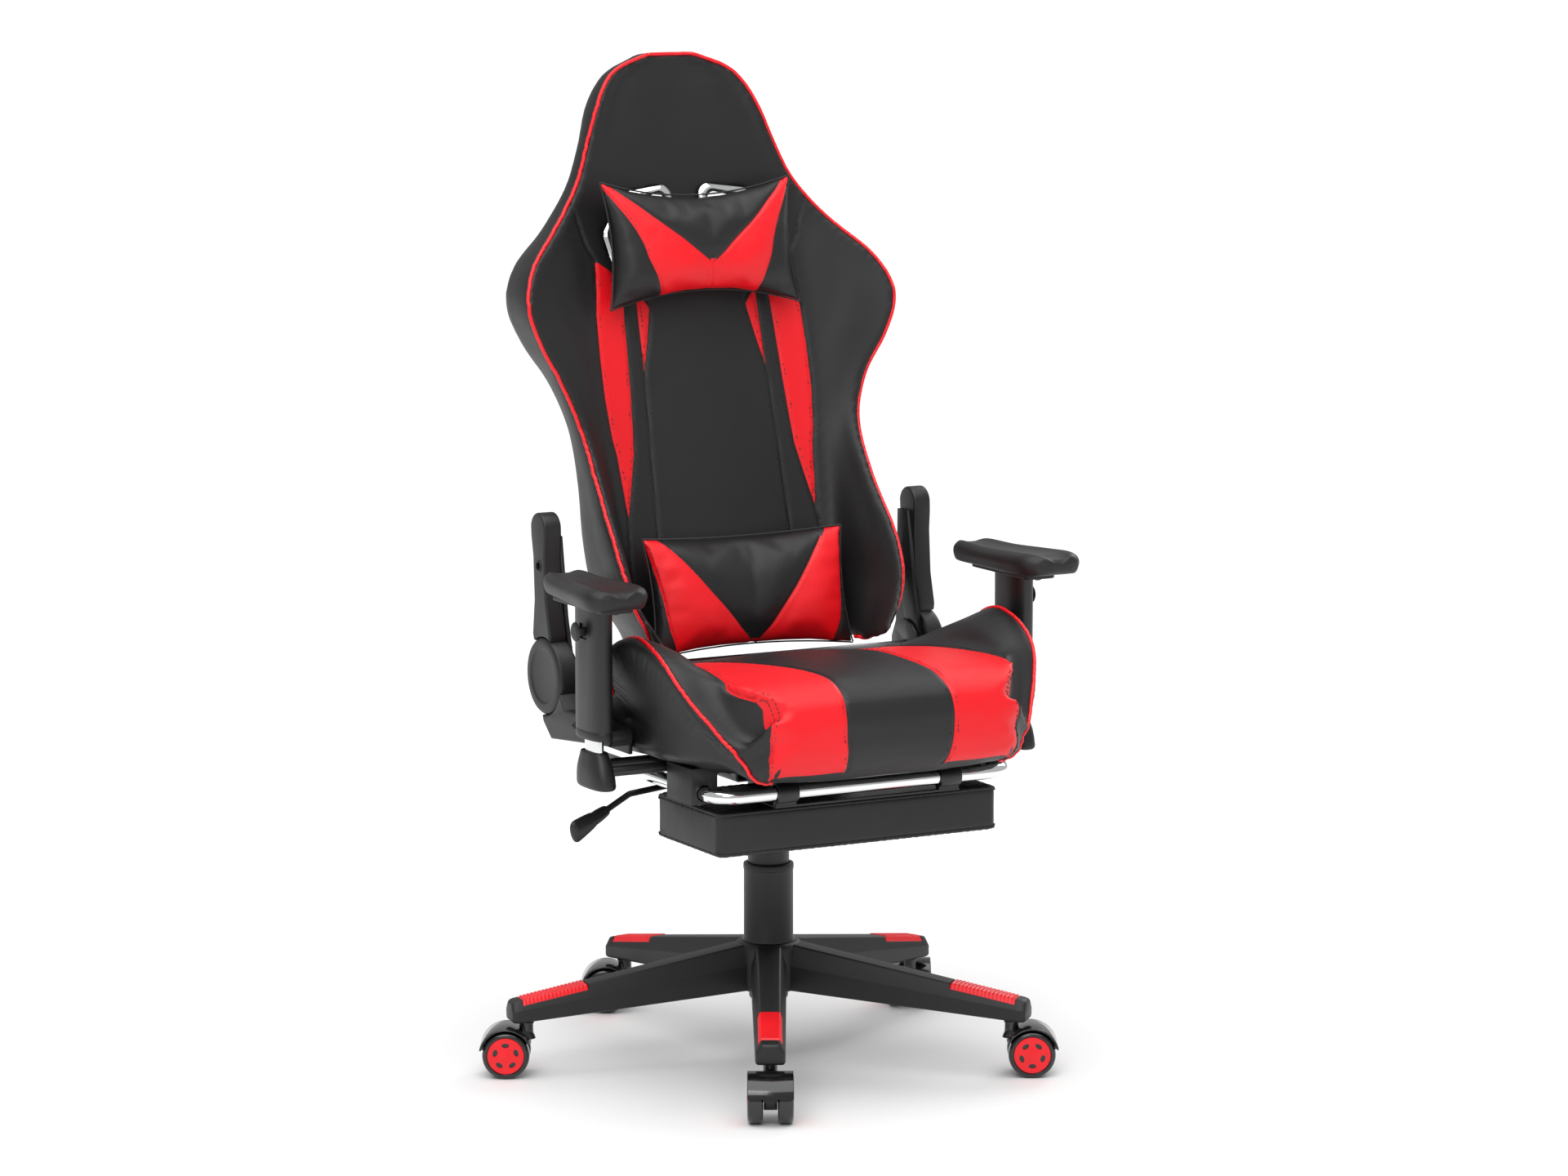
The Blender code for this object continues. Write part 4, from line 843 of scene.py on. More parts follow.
# The bucket seat from front to rear: Y, crest's share of the half width, and heights above the board:
# crest, half widths of the underside, side and flat middle, and heights of the middle and of the foot
SEAT_ROWS = (
    (-0.343, 0.50, 0.058, 0.140, 0.143, 0.110, 0.064, 0.0300),
    (-0.332, 0.62, 0.078, 0.158, 0.163, 0.150, 0.090, 0.0060),
    (-0.300, 0.735, 0.045, 0.178, 0.196, 0.185, 0.107, -0.0095),
    (-0.264, 0.85, 0.080, 0.200, 0.222, 0.190, 0.1115, 0.0),
    (-0.225, 0.92, 0.127, 0.215, 0.240, 0.190, 0.1125, 0.0),
    (-0.165, 0.97, 0.151, 0.228, 0.250, 0.180, 0.1110, 0.0),
    (-0.110, 1.00, 0.149, 0.234, 0.2425, 0.170, 0.1070, 0.0),
    (-0.030, 0.935, 0.106, 0.236, 0.2425, 0.160, 0.0960, 0.0),
    (0.020, 0.865, 0.082, 0.232, 0.2400, 0.150, 0.0830, 0.0),
    (0.054, 0.81, 0.064, 0.214, 0.220, 0.141, 0.0800, 0.0),
    (0.070, 0.78, 0.059, 0.207, 0.213, 0.138, 0.0645, 0.0),
    (0.115, 0.70, 0.048, 0.185, 0.190, 0.130, 0.0580, 0.0),
)

# Seams of the left half, mirrored for the right, as points in X, Y and Z
SEAT_RED_INNER = (
    (0.067, -0.322, 0.432), (0.071, -0.333, 0.442), (0.075, -0.346, 0.478), (0.075, -0.342, 0.512),
    (0.072, -0.300, 0.536), (0.075, -0.240, 0.543), (0.084, -0.183, 0.541), (0.095, -0.127, 0.537),
    (0.104, -0.067, 0.533), (0.115, -0.009, 0.527), (0.122, 0.050, 0.510), (0.126, 0.100, 0.492),
)
SEAT_RED_OUTER = (
    (0.159, -0.303, 0.419), (0.165, -0.314, 0.438), (0.171, -0.325, 0.465), (0.176, -0.334, 0.489),
    (0.178, -0.333, 0.511), (0.188, -0.310, 0.522), (0.194, -0.277, 0.528), (0.193, -0.234, 0.533),
    (0.178, -0.168, 0.539), (0.160, -0.088, 0.539), (0.152, -0.009, 0.530), (0.148, 0.050, 0.512),
    (0.146, 0.100, 0.495),
)
SEAT_PIPING = (
    (0.262, -0.070, 0.500), (0.263, -0.082, 0.530), (0.260, -0.092, 0.556), (0.257, -0.110, 0.574),
    (0.257, -0.135, 0.581), (0.258, -0.160, 0.582), (0.259, -0.190, 0.574), (0.258, -0.215, 0.560),
    (0.255, -0.235, 0.542), (0.248, -0.250, 0.526), (0.239, -0.264, 0.509), (0.232, -0.275, 0.498),
    (0.225, -0.282, 0.486), (0.218, -0.289, 0.475), (0.209, -0.296, 0.463), (0.200, -0.299, 0.451),
    (0.189, -0.301, 0.438), (0.171, -0.300, 0.425), (0.160, -0.305, 0.418),
)
SEAT_TOP = 0.540


def mirrored(half, low, high):
    """A full ring from its right half, its lowest and its highest point."""
    left = [(-x, y, z) for x, y, z in reversed(half)]
    return [low, *half, high, *left]


def seat_rings():
    rings = []
    for y, share, crest, under, side, flat, middle, foot in SEAT_ROWS:
        edge = SEAT_HALF_WIDTH * share
        inner = max(crest - middle, 0.0)
        slope = middle + 0.60 * inner if inner else middle - 0.006
        half = [
            (under, foot), (side, 0.044 if crest > 0.05 else 0.030), (edge, crest - 0.022),
            (edge - 0.004, crest - 0.004), (edge - 0.026, crest), ((flat + edge - 0.03) / 2, slope),
            (flat - 0.01, middle),
        ]
        base = SEAT_UNDERSIDE
        half = [(x, y, base + z) for x, z in half]
        rings.append(mirrored(half, (0.0, y, base + foot), (0.0, y, base + middle + 0.003)))
    return rings


def unrolled(points):
    """Places on the seat's skin as X and the distance forward and down over its front edge."""
    points = np.asarray(points, float)
    return np.stack([points[:, 0], -points[:, 1] - (points[:, 2] - SEAT_TOP)], 1)


def seat_cover():
    looks = bpy.context.scene.chair_looks
    shape = skin(seat_rings(), 5, 3)
    surface = surface_of(shape)
    panels = [laid(line, surface) for line in both_sides((SEAT_RED_INNER, SEAT_RED_OUTER))]
    edges = [laid(line, surface) for line in both_sides((SEAT_PIPING,))]
    mesh = upholster(shape, looks.voxel, panels + edges, 4.0, looks.puff, evening=16)
    tuck(mesh, panels + edges)
    for line in edges:
        gather(mesh, line, 0.022, 0.0011, lambda points, normals: np.clip(0.30 - normals[:, 2], 0, 1))
    points, normals = read_points(mesh), read_normals(mesh)
    red = np.full(len(points), -1.0)
    for inner, outer in zip(panels[:2], panels[2:]):
        foot = [inner[0] - (0, 0, 0.05), outer[0] - (0, 0, 0.05)]
        strip = unrolled([*inner[::6], inner[-1], outer[-1], *outer[::-6], foot[1], foot[0]])
        red = np.maximum(red, inside(unrolled(points), strip))
    under = (normals[:, 2] < -0.8) | (points[:, 2] < SEAT_UNDERSIDE - 0.0075) | (points[:, 1] > 0.09)
    paint(mesh, "red", np.where(under, -1.0, red))
    surface = surface_of(mesh)
    cover = piece("seat_cover", mesh, "panel_leather", "seat", ["seat_cushion"])
    beads = joined([piping(line, surface, looks.piping) for line in edges])
    piece("seat_piping", beads, "piping_vinyl", "seat")
    rows = joined([stitches(panels, surface, offset) for offset in (-0.0042, 0.0042)])
    piece("seat_stitches", rows, "black_thread", "seat")


# ---- back ------------------------------------------------------------------------------------------

# The back from bottom to top: share of height, share of half width, depth of the side wings in front
# of the middle, and half width of the flat middle
BACK_ROWS = (
    (-0.0246, 0.600, 0.060, 0.130),
    (0.000, 0.630, 0.105, 0.130), (0.075, 0.740, 0.102, 0.140), (0.157, 0.763, 0.089, 0.141),
    (0.253, 0.748, 0.054, 0.140), (0.349, 0.756, 0.030, 0.138), (0.431, 0.830, 0.030, 0.138),
    (0.499, 0.941, 0.042, 0.139), (0.570, 1.000, 0.050, 0.139), (0.636, 0.933, 0.038, 0.137),
    (0.702, 0.748, 0.017, 0.128), (0.769, 0.600, 0.009, 0.110), (0.837, 0.519, 0.009, 0.095),
    (0.908, 0.448, 0.012, 0.080), (0.964, 0.345, 0.010, 0.060), (0.998, 0.160, 0.006, 0.028),
)
BACK_PIPING = (
    (0.140, 0.040, 0.527), (0.158, 0.020, 0.530), (0.174, -0.002, 0.543), (0.188, -0.012, 0.562),
    (0.199, -0.008, 0.590), (0.204, 0.003, 0.625), (0.206, 0.024, 0.661),
    (0.204, 0.042, 0.685), (0.203, 0.062, 0.708), (0.202, 0.079, 0.732), (0.201, 0.097, 0.756),
    (0.201, 0.112, 0.780), (0.205, 0.124, 0.805), (0.212, 0.132, 0.831), (0.222, 0.137, 0.856),
    (0.236, 0.137, 0.883), (0.254, 0.136, 0.910), (0.266, 0.137, 0.936), (0.270, 0.142, 0.962),
    (0.266, 0.151, 0.987), (0.252, 0.166, 1.011), (0.227, 0.184, 1.034), (0.202, 0.201, 1.058),
    (0.179, 0.214, 1.082), (0.162, 0.224, 1.107), (0.150, 0.230, 1.132), (0.140, 0.236, 1.157),
    (0.131, 0.240, 1.183), (0.121, 0.243, 1.209), (0.109, 0.250, 1.234), (0.083, 0.259, 1.260),
    (0.045, 0.260, 1.273), (0.000, 0.260, 1.276),
)
# Panel outlines and seams of one half, in X and Z
BACK_RED_OUTER = ((0.140, 1.013), (0.143, 0.978), (0.148, 0.945), (0.150, 0.893), (0.150, 0.841),
                  (0.146, 0.790), (0.142, 0.769), (0.136, 0.687))
BACK_RED_INNER = ((0.119, 0.999), (0.106, 0.960), (0.108, 0.920), (0.110, 0.870), (0.112, 0.835),
                  (0.114, 0.806), (0.117, 0.770), (0.136, 0.687))
BACK_TRIANGLE = ((0.087, 0.970), (0.0885, 0.870), (0.079, 0.908), (0.070, 0.950), (0.076, 0.960))
BACK_SEAMS = (
    ((0.076, 0.968), (0.070, 0.950), (0.079, 0.908), (0.0885, 0.870), (0.090, 0.833), (0.0925, 0.780),
     (0.096, 0.664), (0.098, 0.555)),
    ((0.086, 0.978), (0.088, 0.930), (0.0885, 0.870)),
    ((0.136, 0.687), (0.140, 0.640), (0.142, 0.560)),
    ((0.172, 1.088), (0.160, 1.062), (0.152, 1.035), (0.140, 1.013)),
)
HOLE_CORNERS = ((0.029, 0.071), (0.084, 0.057), (0.112, 0.022), (0.106, -0.018), (0.036, 0.026))
LEAN = Matrix((
    (1, 0, 0, 0), (0, BACK_SLOPE, 1, BACK_FOOT_Y - BACK_SLOPE * BACK_BOTTOM), (0, 1, 0, 0), (0, 0, 0, 1),
))


def back_front(height):
    return BACK_FOOT_Y + BACK_SLOPE * (height - BACK_BOTTOM)


def back_rings():
    rings = []
    for share, width, wing, flat in BACK_ROWS:
        z = BACK_BOTTOM + share * BACK_HEIGHT
        edge = BACK_HALF_WIDTH * width
        thin = 0.45 if share >= 0.99 else 0.72 if share >= 0.95 else 1.0
        front = back_front(z)
        rear = front + BACK_THICK * thin
        half = [
            (0.62 * edge, rear - 0.003), (edge - 0.014, rear - 0.020 * thin),
            (edge, (rear + front - wing) / 2 - 0.004), (edge - 0.003, front - wing + 0.004),
            (edge - 0.014, front - wing), ((flat + edge) / 2, front - 0.42 * wing),
            (min(flat, edge) - 0.004, front),
        ]
        rings.append(mirrored([(x, y, z) for x, y in half], (0.0, rear, z), (0.0, front, z)))
    return rings


def hole_outline(side, grow, steps=3):
    foot = BACK_BOTTOM + 0.66 * BACK_HEIGHT
    points = rounded([(side * x, foot + z) for x, z in HOLE_CORNERS], 0.010, steps)
    middle = sum(points, Vector((0, 0))) / len(points)
    return [point + (point - middle).normalized() * grow for point in points]


def on_front(outline, surface):
    """Points in X and Z laid on the front of a shape."""
    found = []
    for x, z in outline:
        place = surface.ray_cast(Vector((x, -1.0, z)), Vector((0.0, 1.0, 0.0)))[0]
        found.append(tuple(place or surface.find_nearest(Vector((x, back_front(z), z)))[0]))
    return found


def back_cover():
    looks = bpy.context.scene.chair_looks
    shape = skin(back_rings(), 5, 3)
    surface = surface_of(shape)
    flat = [BACK_RED_OUTER, BACK_RED_INNER, *BACK_SEAMS]
    panels = both_sides([dense(on_front(line, surface)) for line in flat])
    halves = both_sides([BACK_PIPING])
    edge = laid(np.concatenate([halves[0], halves[1][-2::-1]]), surface)
    shape = combine(shape, [prism(hole_outline(side, 0.0105), -0.04, 0.10, lay=LEAN) for _, side in SIDES])
    mesh = upholster(shape, looks.voxel, panels + [edge], 4.0, looks.puff, evening=30)
    tuck(mesh, panels + [edge])
    points, normals = read_points(mesh), read_normals(mesh)
    red = np.full(len(points), -1.0)
    for _, side in SIDES:
        for outline in ([*BACK_RED_OUTER, *BACK_RED_INNER[::-1]], BACK_TRIANGLE):
            red = np.maximum(red, inside(points[:, [0, 2]], np.array(outline) * (side, 1)))
    rear = points[:, 1] > back_front(points[:, 2]) + 0.02
    paint(mesh, "red", np.where(rear | (normals[:, 1] > 0.3), -1.0, red))
    surface = surface_of(mesh)
    cover = piece("back_cover", mesh, "panel_leather", "back", ["back_cushion"])
    piece("back_piping", piping(edge, surface, looks.piping), "piping_vinyl", "back")
    rows = joined([stitches(panels[:8], surface, offset) for offset in (-0.0042, 0.0042)])
    piece("back_stitches", rows, "black_thread", "back")


def hole_trim(label, side):
    """A pressed ring that lines a hole, with a rounded lip on both faces."""
    outline = hole_outline(side, 0.0, 8)
    middle = sum(outline, Vector((0, 0))) / len(outline)
    section = [(grow, -0.0005 - 0.0035 * math.sin(math.pi * i / 10)) for i, grow in
               enumerate(np.linspace(0.0138, 0.0, 11))]
    section += [(0.0, 0.012), (0.0, 0.050), (0.001, 0.062)]
    section += [(0.008, 0.0645), (0.0135, 0.0625), (0.0135, 0.0610), (0.0045, 0.058), (0.0025, 0.050),
                (0.0025, 0.004), (0.0110, 0.0015)]
    bm = bmesh.new()
    rows = []
    for point in outline:
        out = (point - middle).normalized()
        spots = [point + out * grow for grow, _ in section]
        rows.append([bm.verts.new(LEAN @ Vector((*spot, depth))) for spot, (_, depth) in zip(spots, section)])
    for row, following in zip(rows, rows[1:] + rows[:1]):
        for i, vert in enumerate(row):
            j = (i + 1) % len(row)
            bm.faces.new((vert, row[j], following[j], following[i]))
    piece(f"hole_ring_{label}", mesh_from(bm), "chrome", "back", [f"hole_trim_{label}"])


# ---- pillows ---------------------------------------------------------------------------------------

# One half of each pillow's panels, in X and Z: the V between the black and the red, and the red's end
NECK_V = ((0.137, 1.115), (0.125, 1.109), (0.110, 1.097), (0.094, 1.085), (0.077, 1.071),
          (0.060, 1.058), (0.040, 1.043), (0.021, 1.027), (0.000, 1.010))
NECK_END = ((0.139, 1.112), (0.131, 1.101), (0.120, 1.084), (0.110, 1.069), (0.101, 1.053),
            (0.094, 1.037), (0.089, 1.019), (0.080, 0.999), (0.071, 0.975), (0.069, 0.962))
LUMBAR_V = ((0.139, 0.671), (0.125, 0.670), (0.109, 0.658), (0.093, 0.641), (0.077, 0.622),
            (0.060, 0.601), (0.042, 0.580), (0.022, 0.555), (0.000, 0.531))
LUMBAR_END = ((0.145, 0.671), (0.140, 0.660), (0.137, 0.646), (0.134, 0.629), (0.131, 0.612),
              (0.128, 0.594), (0.126, 0.575), (0.123, 0.556), (0.115, 0.534), (0.112, 0.522))


def pillow_shape(middle, width, high, low, dip, pull, belly, stand, columns=64, rows=40):
    """Two sheets sewn along their edges and spread apart: the corners stand out as ears, and the sides
    between them draw in. Stand gives how far the edge is from the back at the middle, top and bottom."""
    bm = bmesh.new()
    sheets = []
    for face in (-1, 1):
        grid = []
        for j in range(rows + 1):
            v = 2 * j / rows - 1
            line = []
            for i in range(columns + 1):
                u = 2 * i / columns - 1
                on_edge = i in (0, columns) or j in (0, rows)
                if face > 0 and on_edge:
                    line.append(sheets[0][j][i])
                    continue
                x = width * u * (1 - pull * (1 - v * v))
                z = middle + (high if v > 0 else low) * v * (1 - dip * (1 - u * u))
                corner = stand[2] + (stand[1] - stand[2]) * (v + 1) / 2
                away = stand[0] + (corner - stand[0]) * u * u
                swell = math.sqrt(max(0.0, (1 - abs(u) ** 3.0) * (1 - abs(v) ** 2.4)))
                depth = away + belly * swell if face < 0 else away - (away - 0.004) * min(1.0, swell * 1.4)
                line.append(bm.verts.new((x, back_front(z) - depth, z)))
            grid.append(line)
        sheets.append(grid)
    for grid in sheets:
        for j in range(rows):
            for i in range(columns):
                bm.faces.new((grid[j][i], grid[j][i + 1], grid[j + 1][i + 1], grid[j + 1][i]))
    front = sheets[0]
    rim = front[0] + [row[-1] for row in front[1:]] + front[-1][-2::-1] + [row[0] for row in front[-2::-1]]
    edge_line = [tuple(vert.co) for vert in rim]
    return mesh_from(bm), dense(edge_line)


def pillow_cover(name, shape, rim, v_line, end_line, node):
    looks = bpy.context.scene.chair_looks
    surface = surface_of(shape)
    panels = both_sides([dense(on_front(line, surface)) for line in (v_line, end_line)])
    if v_line[-1][1] - rim[:, 2].min() > 0.02:
        panels.append(dense(on_front([(0.0, v_line[-1][1] - 0.006 * i) for i in range(6)], surface)))
    mesh = upholster(shape, 0.0, panels + [rim], looks.pillow_pressure, 0.008, 0.03, 0.003, 0.0, 8.0, 0, 5)
    tuck(mesh, panels, 0.0040, 0.0018)
    points = read_points(mesh)
    points[:, 1] = np.minimum(points[:, 1], back_front(points[:, 2]) - 0.0015)
    write_points(mesh, points)
    bottom = rim[:, 2].min() - 0.02
    outline = [*v_line, (0.0, bottom), (end_line[-1][0], bottom), *reversed(end_line)]
    half = np.abs(points[:, [0]])
    red = inside(np.hstack([half, points[:, [2]]]), outline)
    seam_plane = back_front(points[:, 2]) - 0.012
    red = np.where((half[:, 0] < 0.004) & (red > -0.004), 0.004, red)
    paint(mesh, "red", np.where(points[:, 1] > seam_plane, -1.0, red))
    rim_distance = distance_to(points, [rim])
    paint(mesh, "seam", np.minimum(rim_distance, distance_to(points, panels)))
    surface = surface_of(mesh)
    cover = piece(name, mesh, "pillow_leather", "back", [node])
    piece(f"{name}_stitches", stitches(panels[:4], surface, 0.0030), "black_thread", "back")
    edge = sweep(rim[::3], 0.0011, 8, closed=True)
    piece(f"{name}_seam_cord", edge, "black_thread", "back")


def neck_strap():
    """Elastic from behind the neck pillow through both holes and across the rear of the back."""
    height = 1.050
    front = back_front(height)
    rear = front + BACK_THICK + 0.0035
    corners = [(-0.062, front - 0.006), (-0.072, front + 0.02), (-0.072, rear - 0.02), (-0.055, rear),
               (0.055, rear), (0.072, rear - 0.02), (0.072, front + 0.02), (0.062, front - 0.006)]
    track = rounded(corners, 0.012, 8, closed=False)
    half, thick = 0.0115, 0.0011
    bm = bmesh.new()
    rows = []
    for i, here in enumerate(track):
        along = (track[min(i + 1, len(track) - 1)] - track[max(i - 1, 0)]).normalized()
        out = Vector((along.y, -along.x)) * thick / 2
        ring = []
        for up in (-half, half):
            for spot in ((here - out, here + out) if up < 0 else (here + out, here - out)):
                ring.append(bm.verts.new((spot.x, spot.y + BACK_SLOPE * up, height + up)))
        rows.append(ring)
    for row, following in zip(rows, rows[1:]):
        for i, vert in enumerate(row):
            j = (i + 1) % 4
            bm.faces.new((vert, row[j], following[j], following[i]))
    bm.faces.new(rows[0])
    bm.faces.new(rows[-1])
    length = sum((b - a).length for a, b in zip(track, track[1:]))
    strap = piece("neck_strap", mesh_from(bm), "elastic", "back")


# ---- recliner --------------------------------------------------------------------------------------

UPRIGHT = Matrix(((0, 0, 1, 0), (1, 0, 0, 0), (0, 1, 0, 0), (0, 0, 0, 1)))


def slab_x(outline, side, near, far, edge=0.0025):
    """An outline in Y and Z between two distances from the middle, on one side."""
    ends = sorted((side * near, side * far))
    return prism(outline, *ends, edge, 4, lay=UPRIGHT)


def recliner(label, side):
    """The upper cover, the foot cover and the disc between them, on one side."""
    hub = (RECLINE.y, RECLINE.z)
    low, high = corners_of(f"upper_cover_{label}")
    near, far = sorted((abs(low.x), abs(high.x)))
    top = high.z
    lean = 0.0145 / (top - RECLINE.z)
    disc_low, disc_high = corners_of(f"recliner_disc_{label}")
    disc_radius = (disc_high.z - disc_low.z) / 2

    def arm(height, offset):
        return (RECLINE.y + lean * (height - RECLINE.z) + offset, height)

    end = arm(top - 0.0205, 0)
    outline = [arm(0.560, -0.024), arm(0.600, -0.0165), arm(0.655, -0.0165), arm(top - 0.030, -0.0200)]
    outline += arc(end, 0.0205, 170, 10, 16)
    outline += [arm(top - 0.030, 0.0200), arm(0.655, 0.0165), arm(0.600, 0.0175), arm(0.556, 0.026)]
    outline += arc(hub, disc_radius + 0.0006, 58, 112, 12)
    cover = slab_x(outline, side, near, far, 0.0045)
    hole = arm(top - 0.067, 0.0)
    well = prism(arc((0, 0), 0.005, 0, 345, 23), 0.0, 0.02,
                 lay=lay_along((side * (far - 0.008), *hole), (side, 0, 0)))
    cover = combine(cover, [well])
    ring = [(0.0052, -0.001), (0.0052, 0.0006), (0.0062, 0.0012), (0.0076, 0.0008), (0.0080, -0.001)]
    bezel = turned(ring, 32, lay_along((side * far, *hole), (side, 0, 0)))
    piece(f"side_cover_{label}", joined([cover, bezel]), "black_nylon", "back", [f"upper_cover_{label}"])

    low, high = corners_of(f"lower_cover_{label}")
    inner = min(abs(low.x), abs(high.x))
    outline = [(-0.106, 0.444), (RECLINE.y - 0.022, 0.4285), (RECLINE.y, 0.447)]
    outline += arc(hub, disc_radius + 0.0006, 274, 200, 16)
    outline += [(RECLINE.y - 0.062, 0.471), (-0.106, 0.467), (-0.112, 0.463), (-0.114, 0.456),
                (-0.112, 0.449)]
    lower = slab_x(outline, side, inner, far, 0.0040)
    screws = [screw_head((side * far, y, 0.456), (side, 0, 0), 0.004) for y in (-0.090, -0.010)]
    piece(f"foot_cover_{label}", joined([lower, *screws]), "black_nylon", "seat", [f"lower_cover_{label}"])

    disc = turned([
        (0.0, far - 0.0015), (disc_radius - 0.017, far - 0.0015), (disc_radius - 0.0155, far - 0.0012),
        (disc_radius - 0.0140, far - 0.0002), (disc_radius - 0.0128, far), (disc_radius - 0.0055, far),
        (disc_radius - 0.0025, far - 0.0010), (disc_radius - 0.0007, far - 0.0030),
        (disc_radius, far - 0.006), (disc_radius, near + 0.001), (disc_radius - 0.001, near), (0.0, near),
    ], 96, lay_along((0, *hub), (side, 0, 0)))
    piece(f"hinge_disc_{label}", disc, "black_nylon", "back", [f"recliner_disc_{label}"])


def recline_handle():
    """The release handle, a blade on a round hub."""
    hub = (RECLINE.y, RECLINE.z)
    low, high = corners_of("recline_lever")
    outline = [(RECLINE.y - 0.060, RECLINE.z - 0.026), (RECLINE.y - 0.118, RECLINE.z - 0.030),
               (RECLINE.y - 0.126, RECLINE.z - 0.020), (RECLINE.y - 0.118, RECLINE.z - 0.008),
               (RECLINE.y - 0.060, RECLINE.z - 0.006)]
    blade = [tuple(point) for point in rounded(outline, 0.008, 6, closed=False)]
    outline = arc(hub, 0.015, 150, -130, 24) + blade
    handle = slab_x(outline, 1, low.x, high.x, 0.0028)
    cap = screw_head((high.x, *hub), (1, 0, 0), 0.007)
    piece("recline_handle", joined([handle, cap]), "black_nylon", "release", ["recline_lever"])


# ---- arms ------------------------------------------------------------------------------------------


def smooth_ovals(centre, rows, sides=48):
    """A skin over squarish ovals given as height, half widths and shift in Y."""
    rings = [oval((centre[0], centre[1] + shift), half, z, sides) for z, half, shift in rows]
    return skin(rings)


POST_HALF = (0.007, 0.020)
SLEEVE_HALF = (0.0150, 0.0365)
PLATE_HALF_WIDTH, PLATE_FRONT, PLATE_REAR = 0.022, 0.070, 0.075
TRIGGER_DROP = 0.030


def outward_box(x, y, z, side, near, far, half_wide, half_high, edge=0.0):
    """A box that starts near the post and ends far from it, on the outer side."""
    inner, outer = sorted((x + side * near, x + side * far))
    corners = (inner, y - half_wide, z - half_high), (outer, y + half_wide, z + half_high)
    return box(*corners, edge)


def arm(label, side):
    """The socket, post, sleeve with its plate, and height trigger, on one side."""
    post = centre_of(f"arm_post_{label}") - COLUMN
    x, y = post.x, post.y
    low, high = corners_of(f"arm_socket_{label}")
    rise = high.z - low.z
    rows = [(0.0, 0.0125, 0.0335), (0.02, 0.0145, 0.0355), (0.06, 0.0160, 0.0372), (0.12, 0.0165, 0.038),
            (0.35, 0.0165, 0.0365), (0.55, 0.0160, 0.034), (0.72, 0.0145, 0.031), (0.86, 0.0130, 0.028),
            (0.95, 0.0123, 0.0262), (0.99, 0.0115, 0.0252), (1.0, 0.0105, 0.0242)]
    rings = [(low.z + share * rise, (a, b), -0.006 * (1 - share)) for share, a, b in rows]
    socket = smooth_ovals((x, y), rings)
    cavity = skin([oval((x, y), (0.0073, 0.0203), z, 48) for z in (high.z - 0.03, high.z + 0.01)])
    piece(f"post_socket_{label}", combine(socket, [cavity]), "black_nylon", "seat", [f"arm_socket_{label}"])

    low, high = corners_of(f"arm_post_{label}")
    rows = [(low.z, POST_HALF, 0.0), (high.z - 0.001, POST_HALF, 0.0), (high.z, (0.0062, 0.0192), 0.0)]
    piece(f"post_{label}", smooth_ovals((x, y), rows), "chrome", "seat", [f"arm_post_{label}"])

    low, high = corners_of(f"arm_sleeve_{label}")
    top = high.z - 0.005
    body = [(low.z, 0.0015), (low.z + 0.0012, 0.0004), (low.z + 0.0035, 0.0), (low.z + 0.0100, 0.0),
            (low.z + 0.0108, 0.0005), (low.z + 0.0116, 0.0), (top - 0.004, 0.0), (top, -0.0010)]
    sleeve = smooth_ovals((x, y), [(z, [half - inset for half in SLEEVE_HALF], 0.0) for z, inset in body])
    cavity = skin([oval((x, y), (0.0078, 0.0208), z, 48) for z in (low.z - 0.01, top - 0.008)])
    trigger_z = top - TRIGGER_DROP
    pocket = outward_box(x, y, trigger_z, side, 0.0122, 0.03, 0.0095, 0.0095)
    sleeve = combine(sleeve, [cavity, pocket])
    left, right = x - PLATE_HALF_WIDTH, x + PLATE_HALF_WIDTH
    front, rear = y - PLATE_FRONT, y + PLATE_REAR
    plate = rounded([(left, front), (right, front), (right, rear), (left, rear)], 0.010, 8)
    plate = prism([tuple(point) for point in plate], top - 0.0005, high.z, 0.0012)
    screws = [screw_head((x, y + along, top - 0.0005), (0, 0, -1), 0.0055) for along in (-0.058, 0.063)]
    piece(f"height_sleeve_{label}", joined([sleeve, plate, *screws]), "black_nylon", f"arm_{label}",
          [f"arm_sleeve_{label}"])

    stem = outward_box(x, y, trigger_z, side, 0.0140, 0.0250, 0.007, 0.005, 0.001)
    ridges = [(0.0, 0.0270), (0.0035, 0.0277), (0.0085, 0.0273), (0.0105, 0.0265), (0.0118, 0.0255),
              (0.0120, 0.0243), (0.0110, 0.0239), (0.0, 0.0239)]
    knob = turned(ridges, 48, lay_along((x, y, trigger_z), (side, 0, 0)))
    piece(f"trigger_{label}", joined([stem, knob]), "black_nylon", f"trigger_{label}",
          [f"arm_trigger_{label}"])


